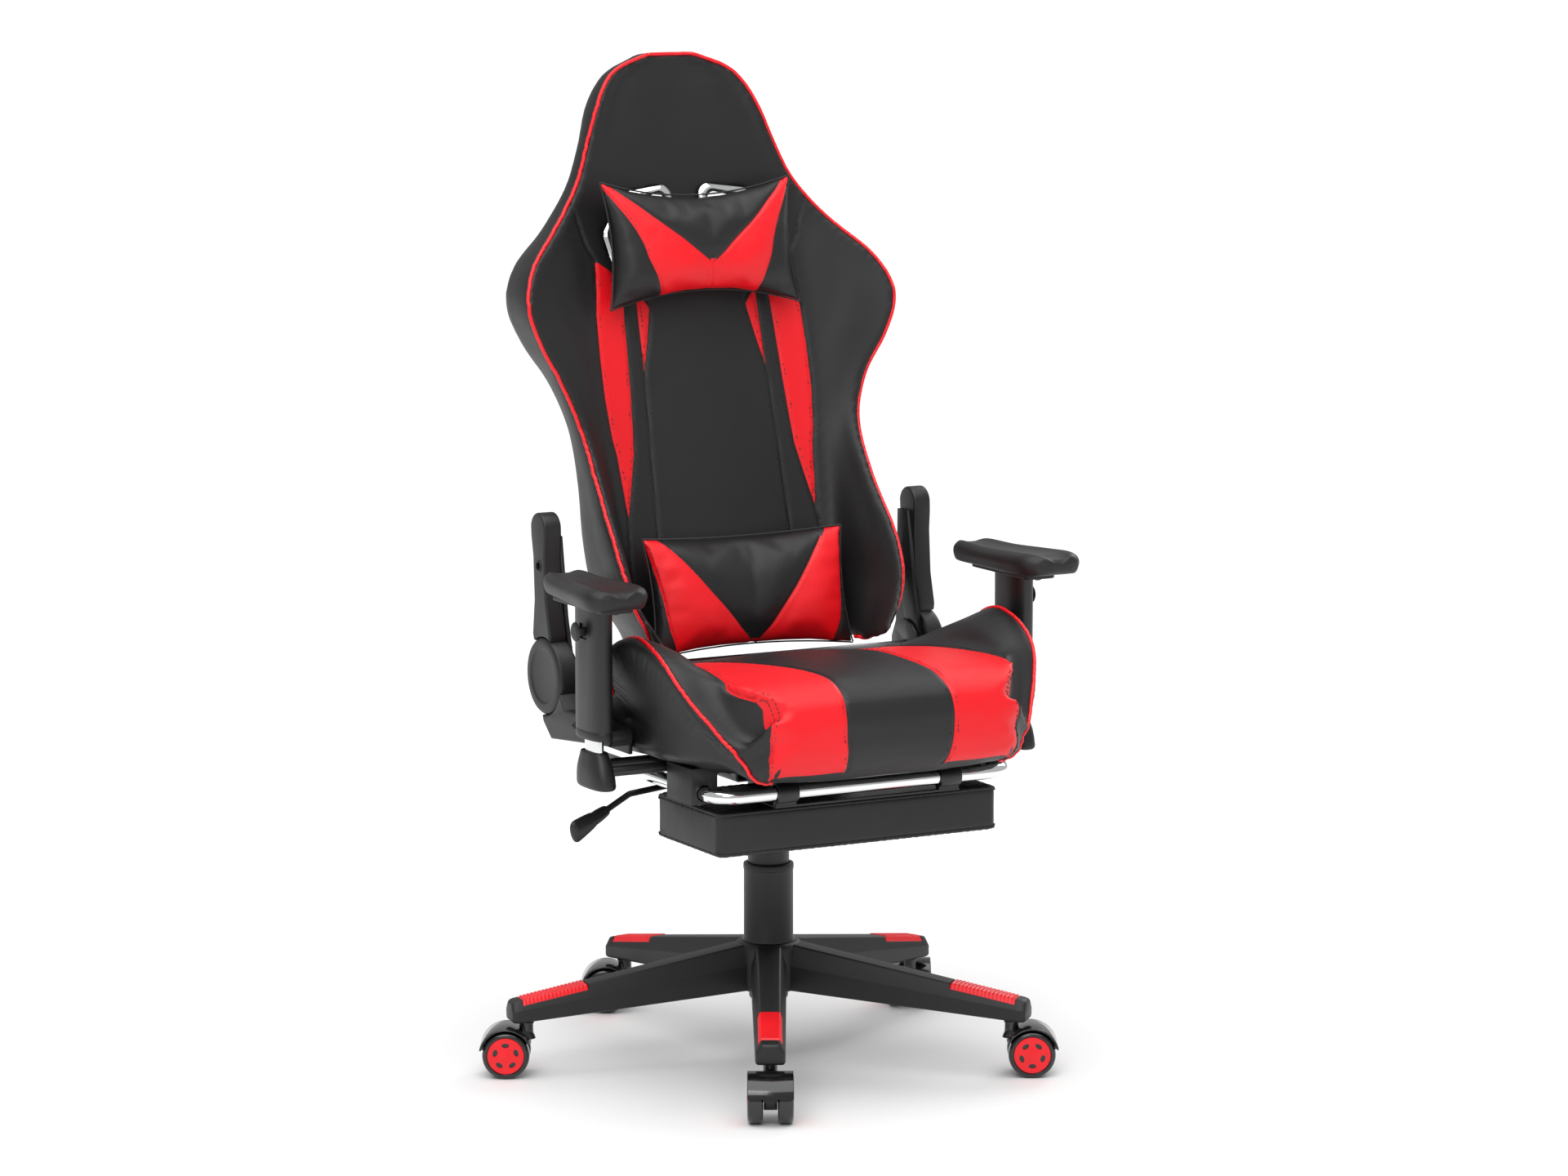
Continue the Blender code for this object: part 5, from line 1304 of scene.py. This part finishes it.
def arm_pad(label, side):
    """A soft saddle with rolled edges, broad in front, that dips a little along its middle."""
    low, high = corners_of(f"arm_pad_{label}")
    x_front = side * (abs(low.x + high.x) / 2 + 0.003)
    rings = []
    for share, half, rise, droop in (
        (0.0, 0.010, 0.62, 0.0085), (0.012, 0.022, 0.76, 0.0050), (0.04, 0.033, 0.90, 0.0020),
        (0.13, 0.0425, 1.00, 0.0), (0.35, 0.0415, 0.95, 0.0), (0.65, 0.036, 0.88, 0.0),
        (0.90, 0.031, 0.92, 0.0),
        (0.965, 0.024, 0.84, 0.0015), (0.990, 0.016, 0.72, 0.0050), (1.0, 0.008, 0.60, 0.0085),
    ):
        y = low.y + share * (high.y - low.y)
        x = x_front - side * 0.016 * share
        top = low.z + (high.z - low.z) * rise
        bottom = low.z + droop
        edge = bottom + (top - bottom) * 0.52
        roll = (high.z - low.z) * 0.05
        half_ring = ((0.60, bottom), (0.86, bottom + 0.0012), (0.985, edge - 0.004), (1.0, edge + 0.003),
                     (0.90, top - 0.0035), (0.66, top + roll * 0.4), (0.35, top - roll))
        half_ring = [(x + half * across, y, z) for across, z in half_ring]
        left = [(2 * x - a, b, c) for a, b, c in reversed(half_ring)]
        rings.append([(x, y, bottom), *half_ring, (x, y, top - roll * 1.4), *left])
    pad = piece(f"arm_cushion_{label}", skin(rings, 6, 4), "black_pad", f"arm_{label}", [f"arm_pad_{label}"],
                crease=60.0)


# ---- footrest --------------------------------------------------------------------------------------


def footrest_rail():
    low, high = corners_of("footrest_rail")
    radius = (high.z - low.z) / 2
    x, z = high.x - radius, (low.z + high.z) / 2
    front, rear = low.y + radius, high.y
    route = rounded([Vector((-x, rear, z)), Vector((-x, front, z)), Vector((x, front, z)),
                     Vector((x, rear, z))], 0.030, 16, closed=False)
    piece("sliding_rail", sweep(route, radius, 40), "chrome", "footrest", ["footrest_rail"])


def footrest_cushion():
    """The footrest's pad, sewn round its two rims and down its corners."""
    low, high = corners_of("footrest_pad")
    inset = 0.002
    low, high = low + Vector((inset,) * 3), high - Vector((inset,) * 3)
    shape = box(low, high, 0.006, 3)
    corners = [(low.x, low.y), (high.x, low.y), (high.x, high.y), (low.x, high.y)]
    rims = []
    for z in (low.z + 0.004, high.z - 0.004):
        ring = rounded([Vector((*corner, z)) for corner in corners], 0.006, 3)
        rims.append(dense([*ring, ring[0]]))
    for x, y in corners:
        inward = math.copysign(0.002, (low.y + high.y) / 2 - y)
        inner = Vector((math.copysign(abs(x) - 0.002, x), y + inward))
        heights = (low.z + 0.004, (low.z + high.z) / 2, high.z - 0.004)
        rims.append(dense([(*inner, z) for z in heights]))
    mesh = upholster(shape, 0.0045, rims, 4.0, 0.0045, 0.0, 0.004, 0.001, evening=14)
    tuck(mesh, rims, 0.0035, 0.0016)
    for line in rims[:2]:
        gather(mesh, line, 0.010, 0.0004,
               lambda points, normals: np.clip(np.abs(normals[:, 2]) * 1.4, 0, 1), 0.009)
    paint(mesh, "red", np.full(len(mesh.vertices), -1.0))
    surface = surface_of(mesh)
    cover = piece("footrest_cover", mesh, "panel_leather", "footrest_board", ["footrest_pad"])
    beads = joined([piping(line, surface, 0.0013) for line in rims[:2]])
    piece("footrest_edge_cord", beads, "black_thread", "footrest_board")


# ---- mechanism and column --------------------------------------------------------------------------


def column_covers():
    low, high = corners_of("column_cover_lower")
    radius = (high.x - low.x) / 2
    inner = (corners_of("column_cover_upper")[1].x - corners_of("column_cover_upper")[0].x) / 2 + 0.0006
    profile = [(inner, high.z), (radius - 0.0022, high.z), (radius - 0.0006, high.z - 0.0006),
               (radius, high.z - 0.002), (radius, high.z - 0.0075), (radius - 0.0007, high.z - 0.0082),
               (radius - 0.0007, low.z + 0.004), (radius + 0.0015, low.z + 0.0012), (radius + 0.0015, low.z),
               (inner, low.z)]
    piece("lower_sheath", turned(profile, 72), "black_nylon", "base", ["column_cover_lower"])
    low, high = corners_of("column_cover_upper")
    radius = (high.x - low.x) / 2
    profile = [(radius - 0.0015, high.z), (radius - 0.0004, high.z - 0.0005), (radius, high.z - 0.0018),
               (radius, high.z - 0.006), (radius - 0.0005, high.z - 0.0068), (radius - 0.0005, low.z + 0.001),
               (radius - 0.0015, low.z), (radius - 0.0022, low.z), (radius - 0.0022, high.z)]
    piece("upper_sheath", turned(profile, 72), "black_nylon", "column", ["column_cover_upper"])


def tension_knob():
    """A knob with flutes round it for grip."""
    low, high = corners_of("tension_knob")
    radius, centre = (high.z - low.z) / 2, (low + high) / 2
    length = high.x - 0.0756
    rings = []
    for along, share, flute in ((0.0, 0.72, 0.0), (0.002, 0.80, 0.0), (0.0035, 0.93, 0.3), (0.006, 1.0, 1.0),
                                (length - 0.005, 1.0, 1.0), (length - 0.002, 0.94, 0.4), (length, 0.80, 0.0)):
        ring = []
        for i in range(96):
            turn = math.tau * i / 96
            reach = radius * share * (1 - 0.055 * flute * (0.5 + 0.5 * math.cos(12 * turn)))
            ring.append((0.0756 + along, centre.y + reach * math.cos(turn),
                         centre.z + reach * math.sin(turn)))
        rings.append(ring)
    stem = turned([(0.0, 0.0), (0.005, 0.0), (0.005, 0.016), (0.0, 0.016)], 24,
                  lay_along((low.x, centre.y, centre.z), (1, 0, 0)))
    piece("tilt_knob", joined([skin(rings), stem]), "black_nylon", "tension", ["tension_knob"])


def lift_lever():
    """A bent rod from the mechanism with a flared grip that droops along its last stretch."""
    side = -0.075
    y, z = -0.035, 0.388
    route = [Vector(point) for point in (
        (side + 0.014, y, z), (side - 0.006, y, z), (side - 0.076, y - 0.005, z - 0.012),
        (side - 0.149, y - 0.015, z - 0.017), (side - 0.200, y - 0.037, z - 0.034),
    )]
    rod = sweep(rounded(route, 0.02, 8, closed=False), 0.0040, 20)
    piece("lever_rod", rod, "black_steel", "lift", ["lift_lever"])
    end, along = route[-1], (route[-1] - route[-2]).normalized()
    wide = along.cross(Vector((0, 0, 1))).normalized()
    thick = wide.cross(along)
    rings = []
    for distance, half_wide, half_thick in (
        (-0.0100, 0.0055, 0.0055), (-0.0090, 0.0068, 0.0068), (0.004, 0.0085, 0.0075),
        (0.012, 0.0088, 0.0076),
        (0.016, 0.0092, 0.0076), (0.020, 0.0108, 0.0072), (0.034, 0.0130, 0.0068), (0.048, 0.0145, 0.0064),
        (0.052, 0.0140, 0.0060), (0.055, 0.0122, 0.0050), (0.0565, 0.0090, 0.0034),
    ):
        middle = end + along * distance
        ring = []
        for i in range(24):
            turn = math.tau * (i + 0.5) / 24
            across = thick * half_wide * math.cos(turn) + wide * half_thick * math.sin(turn)
            ring.append(tuple(middle + across))
        rings.append(ring)
    piece("lever_paddle", skin(rings, 3), "black_nylon", "lift", ["lever_grip"])


# How far the edges of each plain pressed or welded node are rounded, and its finish and body
PLAIN_NODES = (
    ("gas_cylinder", 0.0012, "black_steel", "base"), ("inner_column", 0.0008, "chrome", "column"),
    ("tilt_box", 0.0016, "black_steel", "mechanism"), ("seat_plate", 0.0009, "black_steel", "seat"),
    ("seat_board", 0.0012, "plywood", "seat"), ("lower_bracket_left", 0.0009, "black_steel", "seat"),
    ("lower_bracket_right", 0.0009, "black_steel", "seat"),
    ("arm_bracket_left", 0.0008, "black_steel", "seat"),
    ("arm_bracket_right", 0.0008, "black_steel", "seat"),
    ("footrest_guide_left", 0.0016, "black_nylon", "seat"),
    ("footrest_guide_right", 0.0016, "black_nylon", "seat"), ("footrest_hinge", 0.0006, "black_steel",
                                                              "footrest_board"),
    ("recliner_shaft", 0.0010, "grey_steel", "back"), ("back_frame", 0.0, "black_steel", "back"),
)


def plain_nodes():
    for node, width, finish, body in PLAIN_NODES:
        mesh = eased(node, width) if width else eased(node, 0.0004, 1)
        piece(f"{node}_finished", mesh, finish, body, [node], in_place=True)


def fasteners():
    """Bolts that hold the seat's plate and the footrest's guides."""
    plate_low = corners_of("seat_plate")[0].z
    bolts = [screw_head((x, y, plate_low), (0, 0, -1), 0.0065)
             for x in (-0.105, 0.105) for y in (-0.10, 0.10)]
    for label, _ in SIDES:
        low, high = corners_of(f"footrest_guide_{label}")
        bolts += [screw_head(((low.x + high.x) / 2, y, low.z), (0, 0, -1), 0.0045)
                  for y in (low.y + 0.012, high.y - 0.012)]
    piece("seat_bolts", joined(bolts), "grey_steel", "seat")


# ---- base and casters ------------------------------------------------------------------------------


def heading(yaw):
    """Level direction turned from -Y towards +X."""
    return Vector((math.sin(yaw), -math.cos(yaw), 0))


HUB_LOW, HUB_HIGH = 0.090, 0.153
HUB_RADIUS = 0.043
LEG_REACH = 0.345


def leg_yaws():
    for i in LEGS:
        place = axis_of(f"caster_swivel_{i}")[0]
        yield i, math.atan2(place.x, -place.y)


def leg_section(reach, yaw, lowered=0.0, shrink=0.0):
    """The rounded outline of a leg: flat underside, upright sides and a narrower top."""
    share = reach / LEG_REACH
    half = 0.023 - 0.0045 * share - shrink
    low = 0.094 - 0.024 * share + shrink
    top = 0.150 - 0.053 * (reach - HUB_RADIUS) / (LEG_REACH - HUB_RADIUS) - shrink
    shoulder = low + (top - low) * 0.55
    slant = 0.007 * (1 - lowered / (top - shoulder))
    outline = ((-half, low), (half, low), (half, shoulder), (half - slant, top - lowered),
               (slant - half, top - lowered), (-half, shoulder))
    out, across = heading(yaw), heading(yaw + math.pi / 2)
    return [out * reach + across * point.x + Vector((0, 0, point.y)) for point in rounded(outline, 0.0035, 4)]


def star_base():
    hub = turned([
        (0.0265, HUB_HIGH), (HUB_RADIUS - 0.010, HUB_HIGH), (HUB_RADIUS - 0.006, HUB_HIGH - 0.0006),
        (HUB_RADIUS - 0.0025, HUB_HIGH - 0.0025), (HUB_RADIUS - 0.0006, HUB_HIGH - 0.006),
        (HUB_RADIUS, HUB_HIGH - 0.010), (HUB_RADIUS, HUB_LOW + 0.008), (HUB_RADIUS - 0.002, HUB_LOW + 0.003),
        (HUB_RADIUS - 0.006, HUB_LOW), (0.0265, HUB_LOW),
    ], 96)
    legs = []
    for _, yaw in leg_yaws():
        rings = [leg_section(0.034, yaw), leg_section(0.12, yaw), leg_section(0.2430, yaw),
                 leg_section(0.2448, yaw), leg_section(0.2450, yaw, 0.006), leg_section(0.3310, yaw, 0.006),
                 leg_section(0.3312, yaw), leg_section(0.338, yaw), leg_section(0.3420, yaw, 0, 0.0006),
                 leg_section(0.3442, yaw, 0, 0.0020), leg_section(LEG_REACH, yaw, 0, 0.0040)]
        legs.append(skin([[tuple(point) for point in ring] for ring in rings]))
    piece("base_star", joined([hub, *legs]), "base_nylon", "base", ["star_base"])


def leg_insert(number, yaw, ribs=17):
    """A red insert, ribbed across the leg, that completes the leg's narrowed top."""
    first, last = 0.2456, 0.3304
    rings = []
    count = ribs * 6
    for i in range(count + 1):
        share = i / count
        reach = first + (last - first) * share
        end = min(i, count - i)
        lift = 0.0012 - 0.0011 * (0.5 + 0.5 * math.cos(math.tau * share * ribs)) - max(0, 3 - end) * 0.0004
        lower = leg_section(reach, yaw, 0.0055)
        upper = leg_section(reach, yaw)
        up = Vector((0, 0, lift))
        inner = 0.0004 * (heading(yaw + math.pi / 2))
        left, right = upper[20:25], upper[15:20]
        ring = [lower[24] + inner, lower[15] - inner] + [p + up for p in right] + [p + up for p in left]
        rings.append([tuple(point) for point in ring])
    piece(f"ribbed_insert_{number}", skin(rings), "red_plastic", "base", [f"leg_insert_{number}"])


def caster(number):
    stem = axis_of(f"caster_swivel_{number}")[0]
    axle, across = axis_of(f"caster_roll_{number}")
    out = Vector((axle.x - stem.x, axle.y - stem.y, 0)).normalized()
    across = Vector((-out.y, out.x, 0))
    facing = Matrix((
        (*out, 0.0), (0.0, 0.0, 1.0, 0.0), (*across, 0.0), (0.0, 0.0, 0.0, 1.0),
    )).transposed()
    lay = Matrix.Translation(axle) @ facing
    radius, half, gap = axle.z, 0.0285, 0.0090

    band = arc((0, 0), radius + 0.0044, 12, 152, 40) + arc((0, 0), radius + 0.0020, 152, 12, 40)
    hood = prism(band, -half, half, 0.0010, 3, lay)
    web = arc((0, 0), radius + 0.0036, 6, 158, 32) + [(-0.016, 0.010), (-0.012, -0.008), (0.0, -0.014),
                                                      (0.012, -0.008), (0.016, 0.002)]
    web = prism(web, 0.0006 - gap, gap - 0.0006, 0.0008, 2, lay)
    boss = turned([
        (0.0, 0.0455), (0.0120, 0.0480), (0.0108, 0.0515), (0.0092, 0.0550), (0.0088, 0.0600),
        (0.0088, 0.0670), (0.0100, 0.0674), (0.0100, 0.0690), (0.0088, 0.0696), (0.0050, 0.0696),
        (0.0050, 0.0900), (0.0, 0.0904),
    ], 48, Matrix.Translation((stem.x, stem.y, 0)))
    piece(f"twin_hood_{number}", joined([hood, web, boss]), "gloss_black", f"caster_{number}",
          [f"caster_hood_{number}"])

    tyre = [(0.0040, gap), (radius - 0.0050, gap), (radius - 0.0018, gap + 0.0008),
            (radius - 0.0003, gap + 0.0024), (radius - 0.0001, gap + 0.0046),
            (radius - 0.0001, half - 0.0060), (radius - 0.0004, half - 0.0035),
            (radius - 0.0016, half - 0.0014), (radius - 0.0036, half - 0.0003), (radius - 0.0052, half),
            (radius - 0.0060, half - 0.0004), (radius - 0.0064, half - 0.0022), (0.0040, half - 0.0026)]
    wheels = []
    for side in (-1, 1):
        turn = lay if side > 0 else lay @ Matrix.Rotation(math.pi, 4, "X")
        wheels.append(turned(tyre, 96, turn))
    end = gap + 0.002
    axle_rod = turned([(0.0, -end), (0.0040, -end), (0.0040, end), (0.0, end)], 24, lay)
    piece(f"twin_wheels_{number}", joined([*wheels, axle_rod]), "gloss_black", f"wheels_{number}",
          [f"caster_wheels_{number}"])

    caps = []
    for side in (-1, 1):
        turn = lay if side > 0 else lay @ Matrix.Rotation(math.pi, 4, "X")
        hub = radius - 0.0068
        cap = turned([
            (0.0, half + 0.0004), (0.0045, half + 0.0003), (0.0062, half - 0.0004),
            (hub * 0.80, half - 0.0006),
            (hub - 0.0010, half - 0.0001), (hub - 0.0003, half - 0.0004), (hub, half - 0.0010),
            (hub, half - 0.0024), (0.0, half - 0.0024),
        ], 80)
        holes = []
        for i in range(5):
            slot = [(0.0048 * math.cos(a), 0.0030 * math.sin(a)) for a in np.linspace(0, math.tau, 24, False)]
            spin = Matrix.Rotation(math.tau * i / 5 + 0.3, 4, "Z") @ Matrix.Translation((hub * 0.60, 0, 0))
            quarter = Matrix.Rotation(math.pi / 2, 4, "Z")
            holes.append(prism(slot, half - 0.01, half + 0.01, lay=spin @ quarter))
        cap = combine(cap, holes)
        cap.transform(turn)
        caps.append(cap)
    piece(f"hub_caps_{number}", joined(caps), "red_plastic", f"wheels_{number}")


# ---- stage -----------------------------------------------------------------------------------------


def area_light(name, at, aim, size, power):
    light = bpy.data.lights.new(name, "AREA")
    light.shape = "RECTANGLE"
    light.size, light.size_y = size
    light.energy = power
    obj = bpy.data.objects.new(name, light)
    obj.location = at
    obj.rotation_euler = (Vector(aim) - Vector(at)).to_track_quat("-Z", "Y").to_euler()
    bpy.context.scene.collection.objects.link(obj)


def floor():
    bm = bmesh.new()
    bmesh.ops.create_grid(bm, x_segments=1, y_segments=1, size=120.0)
    mesh = bpy.data.meshes.new("floor")
    bm.to_mesh(mesh)
    bm.free()
    pale = Finish("pale_floor")
    pale.link("Base Color", pale.mix(pale.noise(1.5), (0.86, 0.86, 0.86), (0.88, 0.88, 0.88)))
    pale.shader.inputs["Roughness"].default_value = 0.7
    mesh.materials.append(pale.material)
    obj = bpy.data.objects.new("floor", mesh)
    bpy.context.scene.collection.objects.link(obj)


def camera():
    data = bpy.data.cameras.new("camera")
    data.lens = 120.7
    obj = bpy.data.objects.new("camera", data)
    obj.location = (-3.1156, -5.8154, 1.603)
    obj.rotation_euler = (math.radians(90 - 8.58), 0.0, math.radians(-28.54))
    bpy.context.scene.collection.objects.link(obj)
    bpy.context.scene.camera = obj


def studio():
    world = bpy.data.worlds.new("studio")
    world.use_nodes = True
    background = world.node_tree.nodes["Background"]
    background.inputs["Color"].default_value = (1.0, 1.0, 1.0, 1.0)
    background.inputs["Strength"].default_value = bpy.context.scene.chair_looks.ambient
    bpy.context.scene.world = world
    power = bpy.context.scene.chair_looks.light
    area_light("key", (-3.0, -3.4, 3.4), (0, 0, 0.7), (2.0, 1.6), power)
    area_light("rim", (3.2, 1.6, 2.6), (0, 0, 0.8), (1.6, 2.0), power * 0.7)
    sun = bpy.data.lights.new("sky", "SUN")
    sun.energy = bpy.context.scene.chair_looks.sky
    sun.angle = math.radians(70)
    obj = bpy.data.objects.new("sky", sun)
    obj.rotation_euler = (math.radians(12), math.radians(-8), 0.0)
    bpy.context.scene.collection.objects.link(obj)
    bpy.context.scene.view_settings.view_transform = "Standard"



# ---- settings, operators and panel -----------------------------------------------------------------


class ChairLooks(PropertyGroup):
    black: FloatVectorProperty(name="Black", description="Colour of the black leather", subtype="COLOR",
                               default=(0.010, 0.010, 0.011), min=0, max=1)
    red: FloatVectorProperty(name="Red", description="Colour of the red leather, piping and inserts",
                             subtype="COLOR", default=(0.83, 0.003, 0.010), min=0, max=1)
    grain: FloatProperty(name="Grain", description="Leather grain cells in a metre", default=620.0, min=100)
    piping: FloatProperty(name="Piping", description="Radius of the piping", default=0.0024, unit="LENGTH")
    voxel: FloatProperty(name="Voxel", description="Size of the cover's mesh before it is blown up",
                         default=0.0055, min=0.004, max=0.01, unit="LENGTH")
    puff: FloatProperty(name="Puff", description="Most that the filling pushes a cover out between its seams",
                        default=0.006, unit="LENGTH")
    pillow_pressure: FloatProperty(name="Pillow pressure", description="Pressure inside the pillows",
                                   default=5.0)
    light: FloatProperty(name="Light", description="Power of the key light", default=45.0, unit="POWER")
    sky: FloatProperty(name="Sky", description="Strength of the soft light from above", default=2.5)
    ambient: FloatProperty(name="Ambient", description="Strength of the light from all round", default=0.5)


class StageOperator(Operator):
    """Adds the camera, the lights and the floor"""

    bl_idname = "chair.stage"
    bl_label = "Build stage"

    def execute(self, context):
        camera()
        studio()
        floor()
        return {"FINISHED"}


class SeatOperator(Operator):
    """Upholsters the seat"""

    bl_idname = "chair.seat"
    bl_label = "Build seat"

    def execute(self, context):
        seat_cover()
        return {"FINISHED"}


class BackOperator(Operator):
    """Upholsters the back and lines its holes"""

    bl_idname = "chair.back"
    bl_label = "Build back"

    def execute(self, context):
        back_cover()
        for label, side in SIDES:
            hole_trim(label, side)
        return {"FINISHED"}


class PillowsOperator(Operator):
    """Makes the neck and lumbar pillows and the neck pillow's strap"""

    bl_idname = "chair.pillows"
    bl_label = "Build pillows"

    def execute(self, context):
        shape, rim = pillow_shape(1.0335, 0.1375, 0.081, 0.081, 0.26, 0.07, 0.034, (0.026, 0.034, 0.022))
        pillow_cover("neck_cushion", shape, rim, NECK_V, NECK_END, "neck_pillow")
        shape, rim = pillow_shape(0.594, 0.1440, 0.077, 0.072, 0.10, 0.05, 0.034, (0.026, 0.046, 0.040))
        pillow_cover("lumbar_cushion", shape, rim, LUMBAR_V, LUMBAR_END, "lumbar_pillow")
        neck_strap()
        return {"FINISHED"}


class RecliningOperator(Operator):
    """Makes the covers and discs of the recliner and its handle"""

    bl_idname = "chair.recliner"
    bl_label = "Build recliner"

    def execute(self, context):
        for label, side in SIDES:
            recliner(label, side)
        recline_handle()
        return {"FINISHED"}


class ArmsOperator(Operator):
    """Makes the arms from their sockets up"""

    bl_idname = "chair.arms"
    bl_label = "Build arms"

    def execute(self, context):
        for label, side in SIDES:
            arm(label, side)
            arm_pad(label, side)
        return {"FINISHED"}


class FootrestOperator(Operator):
    """Makes the footrest's rail and its pad"""

    bl_idname = "chair.footrest"
    bl_label = "Build footrest"

    def execute(self, context):
        footrest_rail()
        footrest_cushion()
        return {"FINISHED"}


class MechanismOperator(Operator):
    """Makes the column, the levers and the plain metal parts"""

    bl_idname = "chair.mechanism"
    bl_label = "Build mechanism"

    def execute(self, context):
        column_covers()
        tension_knob()
        lift_lever()
        plain_nodes()
        fasteners()
        return {"FINISHED"}


class BaseOperator(Operator):
    """Makes the five-legged base and its casters"""

    bl_idname = "chair.base"
    bl_label = "Build base"

    def execute(self, context):
        star_base()
        for number, yaw in leg_yaws():
            leg_insert(number, yaw)
            caster(number)
        return {"FINISHED"}


class ChairPanel(Panel):
    """Sizes and colours of the chair, and the steps that build it"""

    bl_idname = "VIEW3D_PT_gaming_chair"
    bl_label = "Gaming Chair"
    bl_space_type = "VIEW_3D"
    bl_region_type = "UI"
    bl_category = "Gaming Chair"

    def draw(self, context):
        for name in ChairLooks.__annotations__:
            self.layout.prop(context.scene.chair_looks, name)
        for step in STEPS:
            self.layout.operator(step.bl_idname)


STEPS = (StageOperator, SeatOperator, BackOperator, PillowsOperator, RecliningOperator, ArmsOperator,
         FootrestOperator, MechanismOperator, BaseOperator)
CLASSES = (ChairLooks, *STEPS, ChairPanel)


def register():
    for cls in CLASSES:
        bpy.utils.register_class(cls)
    bpy.types.Scene.chair_looks = PointerProperty(type=ChairLooks)


def unregister():
    del bpy.types.Scene.chair_looks
    for cls in reversed(CLASSES):
        bpy.utils.unregister_class(cls)


def main():
    register()
    for step in STEPS:
        group, name = step.bl_idname.split(".")
        getattr(getattr(bpy.ops, group), name)()


if __name__ == "__main__":
    main()
